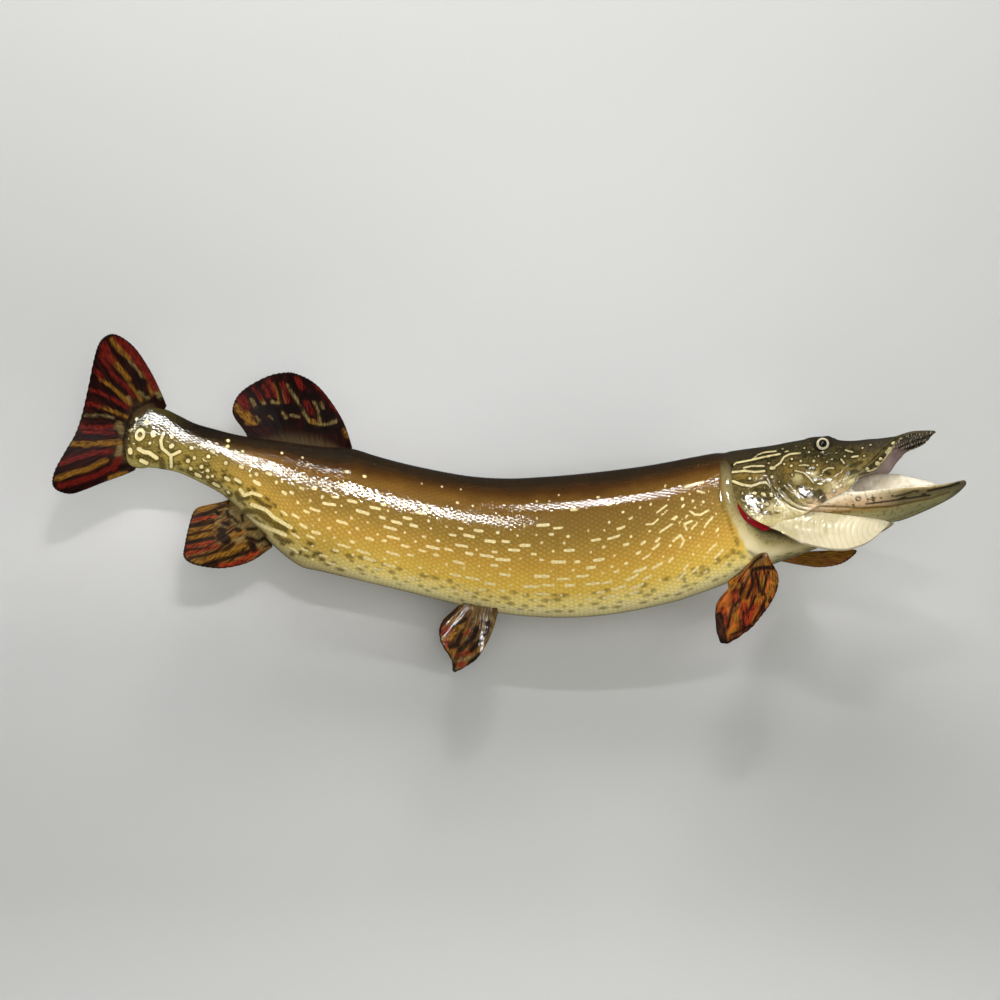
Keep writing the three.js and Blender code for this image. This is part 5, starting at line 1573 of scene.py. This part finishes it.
FIN_STROKES = { # half-width and path in s and h, by colour
    "fin_tail": {
        "red": [
            (4.2, [(-690, 101), (-673, 91), (-656, 77), (-641, 63)]),
            (4, [(-701, 90), (-697, 84), (-689, 77)]),
            (1.8, [(-701, 79), (-694, 72), (-680, 61), (-667, 55), (-659, 48)]),
            (2.0, [(-704, 64), (-698, 60), (-693, 57)]), (1.7, [(-702, 43), (-686, 41), (-661, 35)]),
            (1.8, [(-702, 27), (-694, 29), (-687, 29)]), (2.4, [(-703, 4), (-693, 5), (-671, 12)]),
            (1.3, [(-696, -1), (-668, 6)]), (2.2, [(-711, -39), (-701, -31), (-683, -20), (-664, -12)]),
            (2.7, [(-706, -61), (-691, -53), (-669, -38), (-662, -31)]), (3.4, [(-658, -28), (-655, -18)]),
        ],
        "ochre": [
            (2.4, [(-694, 98), (-685, 90), (-674, 85)]), (2.2, [(-693, 81), (-686, 76), (-669, 64)]),
            (1.4, [(-666, 59), (-658, 53), (-651, 47)]), (1.7, [(-694, 56), (-678, 49), (-660, 40)]),
            (1.3, [(-688, 28), (-678, 28), (-659, 26)]), (2.3, [(-706, -16), (-692, -13), (-658, -1)]),
            (2.3, [(-712, -55), (-702, -48), (-681, -35), (-667, -23)]), (2.4, [(-658, -39), (-645, -29)]),
            (1.8, [(-658, 75), (-648, 65), (-642, 57)]),
        ],
        "tan": [
            (1.4, [(-672, 82), (-663, 76), (-656, 69)]), (0.9, [(-699, 16), (-681, 21), (-672, 21)]),
            (3, [(-665, 17), (-660, 10)]), (3, [(-657, -4), (-657, -14)]), (3, [(-641, 63), (-634, 56)]),
            (1.2, [(-670, 12), (-664, 14)]), (2, [(-664, 45), (-661, 41)]), (1.5, [(-655, 54), (-645, 51)]),
        ],
        "black": [
            (4.6, [(-654, 65)]), (2, [(-648, 54)]), (2.4, [(-649, -27), (-646, -26)]),
            (2, [(-663, 71), (-659, 66)]),
            (1.2, [
                (-630, 56), (-645, 46), (-655, 36), (-657, 20), (-656, 2), (-652, -9), (-641, -19),
                (-638, -26),
            ]),
        ],
    },
    "fin_back": {
        "red": [
            (4.4, [(-560, 83), (-554, 80), (-549, 74)]), (2.5, [(-539, 101), (-531, 94)]),
            (2, [(-536, 109), (-529, 103), (-523, 96)]), (2.6, [(-522, 110), (-515, 103), (-509, 95)]),
            (3, [(-507, 120), (-499, 113)]), (2.6, [(-491, 101), (-484, 95), (-480, 91)]),
            (2.4, [(-487, 122), (-469, 113), (-453, 101)]), (1.6, [(-549, 98), (-542, 92), (-536, 87)]),
        ],
        "ochre": [
            (4.4, [(-557, 71), (-548, 67), (-539, 63)]), (1.2, [(-530, 107), (-523, 100), (-517, 92)]),
            (1.8, [(-478, 83), (-471, 81)]), (2, [(-439, 83), (-434, 78)]), (1.5, [(-543, 59), (-533, 62)]),
        ],
        "tan": [
            (1.2, [(-514, 111), (-508, 105), (-501, 100), (-489, 89), (-479, 81)]),
            (1.2, [(-482, 103), (-476, 98), (-471, 92), (-468, 85)]), (1.1, [(-473, 103), (-469, 99)]),
            (1.8, [(-478, 83), (-469, 80), (-458, 84), (-451, 89)]), (1.6, [(-546, 84), (-539, 78)]),
            (1.8, [(-535, 86), (-532, 84)]), (1.7, [(-524, 89), (-518, 89)]),
            (1.1, [(-536, 69), (-529, 65)]), (1.1, [(-523, 75), (-517, 70)]),
            (1.1, [(-511, 83), (-505, 77)]), (1.2, [(-501, 82), (-492, 83)]),
            (0.7, [(-519, 105), (-514, 98), (-510, 93)]),
        ],
        "black": [
            (5.5, [(-535, 76), (-517, 83)]), (3.4, [(-513, 86), (-493, 91)]),
            (3.4, [(-527, 65), (-512, 70), (-495, 75)]), (3.6, [(-494, 104), (-480, 108)]),
            (3.6, [(-468, 93), (-456, 95)]), (3.8, [(-480, 74), (-463, 77), (-447, 83)]),
            (1.6, [(-526, 110), (-520, 101), (-516, 94)]), (1.6, [(-513, 117), (-511, 109)]),
        ],
    },
    "fin_vent": {
        "red": [
            (1.6, [(-564, -56), (-552, -49), (-542, -43)]), (2, [(-560, -83), (-548, -76), (-537, -70)]),
            (2, [(-558, -90), (-543, -80), (-531, -72)]),
            (2.8, [(-520, -90), (-508, -84), (-499, -74), (-492, -65)]), (1.2, [(-564, -52), (-557, -48)]),
        ],
        "ochre": [
            (2.2, [(-565, -46), (-550, -37)]), (2, [(-563, -67), (-548, -59), (-540, -53)]),
            (2, [(-562, -75), (-548, -67), (-536, -59)]), (2.6, [(-546, -94), (-532, -85), (-522, -77)]),
            (2.8, [(-519, -79), (-512, -69), (-502, -62)]), (2, [(-519, -59), (-510, -49)]),
        ],
        "tan": [
            (1.4, [(-544, -41), (-535, -43)]), (1.6, [(-525, -41), (-513, -46)]),
            (1.3, [(-539, -51), (-529, -50)]), (2.5, [(-515, -60), (-506, -50)]),
            (2.5, [(-498, -49), (-491, -50)]), (2, [(-492, -58), (-485, -53)]),
            (3, [(-534, -34), (-523, -34)]),
        ],
        "black": [
            (4.8, [(-530, -61), (-524, -63)]), (2.4, [(-533, -55), (-529, -54)]),
            (3.2, [(-499, -59), (-495, -63)]), (1.7, [(-564, -52), (-553, -45), (-545, -38)]),
            (2, [(-564, -61), (-551, -55), (-543, -49)]), (0.9, [(-562, -71), (-552, -64), (-541, -58)]),
            (1.8, [(-562, -79), (-551, -73), (-537, -65)]), (0.9, [(-560, -86), (-537, -76)]),
            (1, [(-553, -92), (-539, -85), (-529, -77)]),
            (1.6, [(-538, -96), (-528, -88), (-511, -76), (-499, -67)]), (2, [(-544, -38), (-540, -40)]),
            (1.6, [(-532, -35), (-529, -39)]), (1.8, [(-532, -47), (-527, -47)]),
            (1.8, [(-518, -49), (-514, -49)]), (1.3, [(-517, -33), (-514, -39)]),
            (1.6, [(-507, -45), (-499, -42)]), (1.4, [(-492, -42), (-485, -47)]),
            (1.5, [(-505, -54), (-493, -54), (-487, -48), (-480, -54)]), (1.2, [(-527, -38), (-518, -42)]),
        ],
    },
    "fin_pelvic": {
        "red": [
            (3.6, [(-296, -102), (-292, -99)]), (2.6, [(-293, -116), (-290, -112)]),
            (2.4, [(-278, -133), (-274, -132)]), (1.8, [(-280, -124), (-269, -119)]),
            (1.4, [(-275, -102), (-271, -97)]),
        ],
        "ochre": [
            (2.8, [(-282, -95), (-287, -104), (-290, -110)]), (1.8, [(-291, -91), (-282, -86)]),
            (1.8, [(-261, -120), (-258, -115)]), (1.6, [(-285, -121), (-290, -118)]),
        ],
        "tan": [
            (3.6, [(-258, -81), (-252, -84)]), (0.9, [(-264, -82), (-271, -97), (-276, -108)]),
            (1, [
                (-249, -77), (-250, -93), (-256, -105), (-260, -116), (-265, -123), (-276, -128),
                (-283, -132),
            ]), (0.9, [(-259, -89), (-261, -100), (-266, -107)]), (0.8, [(-278, -94), (-285, -102)]),
            (1, [(-281, -138), (-275, -137)]),
        ],
        "black": [
            (2, [(-255, -87), (-256, -97), (-262, -108), (-268, -117)]),
            (2.2, [(-265, -94), (-267, -103), (-273, -111), (-278, -118)]),
            (1.6, [(-276, -86), (-284, -93)]), (2.6, [(-266, -129), (-261, -122)]),
            (2.2, [(-288, -116), (-281, -113)]), (1.2, [(-282, -132), (-282, -137)]),
            (1.5, [(-279, -102), (-282, -110)]),
        ],
    },
    "fin_pectoral": {
        "red": [
            (5, [(-2, -98), (0, -111)]), (4, [(11, -99), (4, -108)]), (3, [(-10, -80), (-12, -88)]),
            (4, [(-27, -96), (-26, -106)]), (2.5, [(-8, -118), (-2, -117)]),
        ],
        "ochre": [
            (2.2, [(35, -70), (38, -79), (33, -88), (26, -98)]), (3, [(25, -74), (22, -87), (14, -96)]),
            (3.6, [(-14, -74), (-7, -74)]), (1.8, [(4, -81), (-2, -88)]), (1.8, [(-14, -101), (-13, -110)]),
            (1.8, [(-13, -117), (-22, -121)]), (2.6, [(28, -56), (31, -60)]),
        ],
        "tan": [
            (0.7, [(9, -64), (3, -72), (-2, -77)]), (0.7, [(-7, -93), (-15, -98), (-22, -104)]),
            (2.4, [(6, -57), (-5, -64)]), (0.8, [(26, -51), (18, -56)]),
        ],
        "black": [
            (2, [(14, -63), (24, -63), (37, -66)]), (1.4, [(31, -69), (27, -79), (23, -90)]),
            (1.8, [(17, -67), (19, -77), (20, -86)]), (1.5, [(12, -64), (12, -78), (4, -89)]),
            (1.3, [(0, -74), (-5, -84)]), (1.2, [(14, -90), (8, -98), (2, -104)]),
            (1.2, [(-3, -102), (-5, -115), (-6, -121)]), (1.3, [(-14, -92), (-20, -104), (-24, -114)]),
            (4.4, [(-32, -101), (-32, -113), (-31, -126)]), (1.5, [(26, -52), (16, -56), (11, -60)]),
            (1.4, [(27, -95), (18, -106), (8, -115)]), (1.2, [(-22, -122), (-10, -120), (4, -117)]),
            (0.9, [(-11, -95), (-14, -88)]),
        ],
    },
    "fin_pectoral_far": {
        "red": [],
        "ochre": [(4, [(48, -51), (70, -54), (90, -57)]), (2.4, [(45, -57), (62, -62)])],
        "tan": [(2, [(38, -50), (60, -52)])],
        "black": [],
    },
}
FINS = [
    Fin("fin_tail", "caudal_fin", "fin_tail", CAUDAL_ROOT, CAUDAL_MARGIN, 34, 0.0, 1.6, 1.6),
    Fin("fin_back", "dorsal_fin", "fin_back", DORSAL_ROOT, DORSAL_MARGIN, 22, 0.0, 1.2, 4.0),
    Fin("fin_vent", "anal_fin", "fin_vent", ANAL_ROOT, ANAL_MARGIN, 19, 0.0, 1.2, 4.0),
    *(
        Fin(
            "fin_pelvic_" + name, "pelvic_fin_" + name, "fin_pelvic", sided(PELVIC_ROOT, side),
            sided(PELVIC_MARGIN, side), 11, side * 3.0, 1.6, 3.0,
        )
        for name, side in SIDES
    ),
    Fin(
        "fin_pectoral_right", "pectoral_fin_right", "fin_pectoral", PECTORAL_ROOT, PECTORAL_MARGIN,
        14, 5.0, 2.0, 3.5,
    ),
    Fin(
        "fin_pectoral_left", "pectoral_fin_left", "fin_pectoral_far", sided(PECTORAL_ROOT, -1),
        FAR_PECTORAL_MARGIN, 14, 0.0, 1.2, 3.5,
    ),
]
RAY_COLUMNS, FIN_ROWS = 10, 40 # columns of a fin's grid to each ray, and its rows
FIN_WAVES = 3
FIN_APART = 7.3 # how far apart the patterns of two fins lie


def fin_piece(fin, number, material):
    """A fin as a slab between root and margin lines, ridged along its rays, which fork outward.

    The ridge is a rounded wave of the rays' count, and of twice that count past the forks. Its
    margin dips a little between rays.
    """
    u, v = even((fin.rays * RAY_COLUMNS + 1, FIN_ROWS))
    forked = ease(0.55, 0.75, v)
    single, double = (np.abs(np.cos(np.pi * fin.rays * k * u)) for k in (1, 2))
    ridge = single * (1 - forked) + double * forked
    s, l, h = between(fin.root, fin.margin, u, v * (1 - 0.012 * (1 - double) * v ** 6))
    ripple = fin.ripple * np.sin(2 * np.pi * FIN_WAVES * u + 1.7 * v) * v ** 2
    grid = place(s, l + fin.cup * np.sin(np.pi * u) * v + ripple, h)
    thick = (0.8 + 0.22 * ridge) * (1 - 0.25 * v) + fin.flesh * ease(0.2, 0.0, v)
    fields = {
        "ray": u * fin.rays,
        "reach": v,
        "ridge": ridge,
        "fin": np.full(u.shape, number * FIN_APART),
        **{key: stroke_depth(rows, s, h) for key, rows in FIN_STROKES[fin.marks].items()},
    }
    build(fin.name, [thickened(grid, thick, fields)], [material], (fin.node,))


# ---------------------------------------------------------------- settings
def colour_setting(name, words, code):
    return bpy.props.FloatVectorProperty(
        name=name, description=words, default=linear(code), size=3, subtype="COLOR", min=0, max=1,
    )


def power_setting(name, words, power):
    return bpy.props.FloatProperty(name=name, description=words, default=power, unit="POWER")


class PIKE_PG_look(bpy.types.PropertyGroup):
    """Colours of the markings that run over more than one piece."""

    mark: colour_setting("Marks", "Cream dashes and spots", "#eedda2")
    blotch: colour_setting("Blotches", "Olive smudges low on the flanks", "#54461b")


class PIKE_PG_studio(bpy.types.PropertyGroup):
    """Light and backdrop round the mount."""

    wall: colour_setting("Backdrop", "Colour of the wall and floor behind the mount", "#c9c9c6")
    key_power: power_setting("Key light", "Power of the large soft lamp above the mount", 35.0)
    fill_power: power_setting("Fill light", "Power of the large soft lamp in front", 17.5)
    strip_power: power_setting("Strip lights", "Power of the narrow lamps that draw the gloss", 4.0)
    back_power: power_setting("Back light", "Power of the lamp that shows the block's back", 14.0)
    air: bpy.props.FloatProperty(
        name="Room light", description="Strength of the light from all round", default=0.34,
    )
    air_gloss: bpy.props.FloatProperty(
        name="Room gloss", description="Strength of the room as the varnish mirrors it", default=0.08,
    )
    lens: bpy.props.FloatProperty(
        name="Lens", description="Focal length of the camera", default=69.3, unit="CAMERA",
    )


# ---------------------------------------------------------------- studio
WALL_GAP = 0.001
OPENING_INSET = 0.003 # how far inside the block's outline the opening in the wall lies
OPENING = (1, 1) # column and row, in the sheet's grid, of the quad behind the block
ROOM = {"half": 2.2, "top": 1.7, "floor": -0.62, "cove": 0.25, "deep": 2.8}
MIRRORED_WALL = "#343433" # the wall as the varnish mirrors it
AIR = "#e8ebee"
CAMERA = {"place": (-0.042, -2.1, 0.05), "turn": (math.pi / 2, 0, 0), "sensor": 36.0}


class Lamp(NamedTuple):
    """A rectangular lamp: its place, the point it faces, its size, and its share of a setting.

    spread is in degrees. A lamp that isn't mirrored lights the mount without drawing gloss.
    """
    name: str
    at: tuple
    aim: tuple
    size: tuple
    setting: str
    share: float = 1.0
    spread: float = 180.0
    mirrored: bool = True


LAMPS = [
    Lamp("key", (-0.2, -1.0, 1.8), (-0.05, -0.1, 0.0), (1.6, 0.6), "key_power", mirrored=False),
    Lamp("fill", (0.3, -2.3, 0.2), (0.0, -0.1, 0.0), (1.8, 1.2), "fill_power", mirrored=False),
    Lamp("strip_front", (0.0, -1.4, 1.2), (0.08, -0.11, 0.05), (0.42, 0.035), "strip_power", 0.065, 36),
    Lamp("strip_rear", (0.06, -1.6, 0.62), (-0.33, -0.1, 0.06), (0.4, 0.07), "strip_power", 0.031, 16),
    Lamp("glint", (-0.37, -1.5, 0.6), (0.21, -0.14, 0.05), (0.12, 0.12), "strip_power", 0.006, 11),
    Lamp("glint_shoulder", (-0.3, -1.5, 0.47), (0.178, -0.131, 0.05), (0.1, 0.28), "strip_power", 0.004, 6),
    Lamp("behind_wall", (-0.3, 1.2, 0.7), (0.0, 0.0, 0.0), (0.9, 0.9), "back_power"),
]


def area_lamp(lamp, studio):
    data = bpy.data.lights.new(lamp.name, "AREA")
    data.shape = "RECTANGLE"
    data.size, data.size_y = lamp.size
    data.energy = getattr(studio, lamp.setting) * lamp.share
    data.spread = math.radians(lamp.spread)
    made = bpy.data.objects.new(lamp.name, data)
    made.location = lamp.at
    toward = Vector(np.subtract(lamp.aim, lamp.at))
    made.rotation_euler = toward.to_track_quat("-Z", "Y").to_euler()
    made.visible_glossy = lamp.mirrored
    bpy.context.scene.collection.objects.link(made)


def backdrop_sheet():
    """Wall, cove and floor as one sheet: a profile of heights and depths carried along x.

    An opening behind the block, smaller than it, lets light reach the block's back.
    """
    low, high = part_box("wall_block")
    turn = np.linspace(0, np.pi / 2, 13)
    cove = ROOM["cove"]
    down_y = WALL_GAP - cove + cove * np.cos(turn)
    down_z = ROOM["floor"] + cove - cove * np.sin(turn)
    y = np.concatenate([[WALL_GAP] * 3, down_y, [-ROOM["deep"]]])
    z = np.concatenate([
        [ROOM["top"], high.z - OPENING_INSET, low.z + OPENING_INSET], down_z, [ROOM["floor"]],
    ])
    x = np.array([-ROOM["half"], low.x + OPENING_INSET, high.x - OPENING_INSET, ROOM["half"]])
    points = np.stack([np.repeat(x, len(y)), np.tile(y, len(x)), np.tile(z, len(x))], -1)
    column, row = OPENING
    quads = np.delete(net(numbered(len(x), len(y))), column * (len(y) - 1) + row, 0)
    mesh = bpy.data.meshes.new("backdrop")
    mesh.from_pydata(points.tolist(), [], quads.tolist())
    mesh.shade_smooth()
    made = bpy.data.objects.new("backdrop", mesh)
    bpy.context.scene.collection.objects.link(made)
    made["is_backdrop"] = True
    return made


def backdrop_material(colour):
    """Plain matt paint, seen only from its front, so that the mount's back can be looked at."""
    material, start = blank_material("backdrop paint")
    matt, dim = (
        start.node("ShaderNodeBsdfPrincipled", None, {"Base Color": paint, "Roughness": 0.9})
        for paint in (colour, MIRRORED_WALL)
    )
    glossy = start.node("ShaderNodeLightPath", out="Is Glossy Ray")
    seen = start.node("ShaderNodeMixShader", None, {0: glossy, 1: matt, 2: dim})
    clear = start.node("ShaderNodeBsdfTransparent")
    behind = start.node("ShaderNodeNewGeometry", out="Backfacing")
    both = start.node("ShaderNodeMixShader", None, {0: behind, 1: seen, 2: clear})
    start.node("ShaderNodeOutputMaterial", None, {"Surface": both})
    return material


def studio_world(studio):
    """Light from all round, dimmer where the varnish mirrors it."""
    world = bpy.data.worlds.new("studio air")
    world.use_nodes = True
    start = Wire(world.node_tree)
    air = world.node_tree.nodes["Background"]
    air.inputs["Color"].default_value = (*linear(AIR), 1)
    glossy = start.node("ShaderNodeLightPath", out="Is Glossy Ray")
    strength = (1 - glossy) * studio.air + glossy * studio.air_gloss
    world.node_tree.links.new(strength.socket, air.inputs["Strength"])
    return world


def camera_seat(lens):
    camera = bpy.data.cameras.new("camera")
    camera.lens, camera.sensor_width = lens, CAMERA["sensor"]
    seat = bpy.data.objects.new("camera", camera)
    seat.location, seat.rotation_euler = CAMERA["place"], CAMERA["turn"]
    bpy.context.scene.collection.objects.link(seat)
    return seat


# ---------------------------------------------------------------- operators
class PikeStep:
    """What the operators share."""

    bl_options = {"REGISTER", "UNDO"}


class PIKE_OT_skin(PikeStep, bpy.types.Operator):
    """Cover the flesh with one skin, from the tail to both jaws"""

    bl_idname = "pike.skin"
    bl_label = "Skin"

    def execute(self, context):
        make_skin(context.scene.pike_look)
        return {"FINISHED"}


class PIKE_OT_scales(PikeStep, bpy.types.Operator):
    """Lay the overlapping scales on the trunk"""

    bl_idname = "pike.scales"
    bl_label = "Scales"

    def execute(self, context):
        material = finish("pike scales", scale_paint, context.scene.pike_look, **VARNISH)
        for band in SCALE_BANDS:
            scale_band(*band, material)
        return {"FINISHED"}


class PIKE_OT_eyes(PikeStep, bpy.types.Operator):
    """Set the glass eyes"""

    bl_idname = "pike.eyes"
    bl_label = "Eyes"

    def execute(self, context):
        make_eyes()
        return {"FINISHED"}


class PIKE_OT_mouth(PikeStep, bpy.types.Operator):
    """Lay the tongue and set the teeth"""

    bl_idname = "pike.mouth"
    bl_label = "Tongue and teeth"

    def execute(self, context):
        make_mouth()
        return {"FINISHED"}


class PIKE_OT_gills(PikeStep, bpy.types.Operator):
    """Comb the gills behind both gill openings"""

    bl_idname = "pike.gills"
    bl_label = "Gills"

    def execute(self, context):
        make_gills()
        return {"FINISHED"}


class PIKE_OT_fins(PikeStep, bpy.types.Operator):
    """Fan out the seven fins"""

    bl_idname = "pike.fins"
    bl_label = "Fins"

    def execute(self, context):
        gloss = {"Roughness": 0.3, "Specular_IOR_Level": 0.03}
        wet = {"Roughness": 0.12, "Specular_IOR_Level": 0.4}
        dark = finish("pike fins", fin_paint, "#0f0706", "#2a0d09", "#4c3d22", **gloss)
        own = {
            "fin_vent": ("pike vent fin", gloss, ("#2a190b", "#7d5a2a", "#7d6d42", FLAME)),
            "fin_pelvic": ("pike pelvic fins", wet, ("#33200f", "#7d5426", "#75653a", FLAME)),
            "fin_pectoral": ("pike breast fins", wet, ("#33150a", "#a5581c", "#5c4c24", FLAME)),
            "fin_pectoral_far": ("pike far fin", wet, ("#6b421b", "#96642c", "#7d6133")),
        }
        own = {key: finish(name, fin_paint, *tones, **sheen) for key, (name, sheen, tones) in own.items()}
        for number, fin in enumerate(FINS):
            fin_piece(fin, number, own.get(fin.marks, dark))
        return {"FINISHED"}


class PIKE_OT_mount(PikeStep, bpy.types.Operator):
    """Finish the wooden block and its steel hanger"""

    bl_idname = "pike.mount"
    bl_label = "Block and hanger"

    def execute(self, context):
        wood = finish("block wood", wood_paint, Specular_IOR_Level=0.3)
        steel = finish("hanger steel", steel_paint, Metallic=1.0)
        for node, material in (("wall_block", wood), ("hanger", steel)):
            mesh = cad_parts[node].data
            mesh.materials.clear()
            mesh.materials.append(material)
        return {"FINISHED"}


class PIKE_OT_stage(PikeStep, bpy.types.Operator):
    """Set up the backdrop, the lamps and the camera"""

    bl_idname = "pike.stage"
    bl_label = "Studio"

    def execute(self, context):
        scene = context.scene
        studio = scene.pike_studio
        backdrop_sheet().data.materials.append(backdrop_material(studio.wall))
        scene.world = studio_world(studio)
        for lamp in LAMPS:
            area_lamp(lamp, studio)
        scene.camera = camera_seat(studio.lens)
        scene.view_settings.view_transform = "Standard"
        return {"FINISHED"}


STEPS = (
    PIKE_OT_skin, PIKE_OT_scales, PIKE_OT_eyes, PIKE_OT_mouth, PIKE_OT_gills, PIKE_OT_fins,
    PIKE_OT_mount, PIKE_OT_stage,
)


class PIKE_PT_steps(bpy.types.Panel):
    """Lists the steps in the order in which they are run"""

    bl_idname = "PIKE_PT_steps"
    bl_label = "Mounted pike"
    bl_space_type = "VIEW_3D"
    bl_region_type = "UI"
    bl_category = "Pike"

    def draw(self, context):
        layout = self.layout
        for step in STEPS:
            layout.operator(step.bl_idname)
        for group in (context.scene.pike_look, context.scene.pike_studio):
            box = layout.box()
            for key in group.bl_rna.properties.keys():
                if key not in ("rna_type", "name"):
                    box.prop(group, key)


CLASSES = (PIKE_PG_look, PIKE_PG_studio, *STEPS, PIKE_PT_steps)


def register():
    for cls in CLASSES:
        bpy.utils.register_class(cls)
    bpy.types.Scene.pike_look = bpy.props.PointerProperty(type=PIKE_PG_look)
    bpy.types.Scene.pike_studio = bpy.props.PointerProperty(type=PIKE_PG_studio)


def unregister():
    del bpy.types.Scene.pike_studio
    del bpy.types.Scene.pike_look
    for cls in reversed(CLASSES):
        bpy.utils.unregister_class(cls)


def main():
    register()
    for step in STEPS:
        getattr(bpy.ops.pike, step.bl_idname.split(".")[1])()
    boxes = {"cad": CAD_BOX, "visual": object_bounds()}
    {key: [[float(x) for x in corner] for corner in box] for key, box in boxes.items()}


if __name__ == "__main__":
    main()
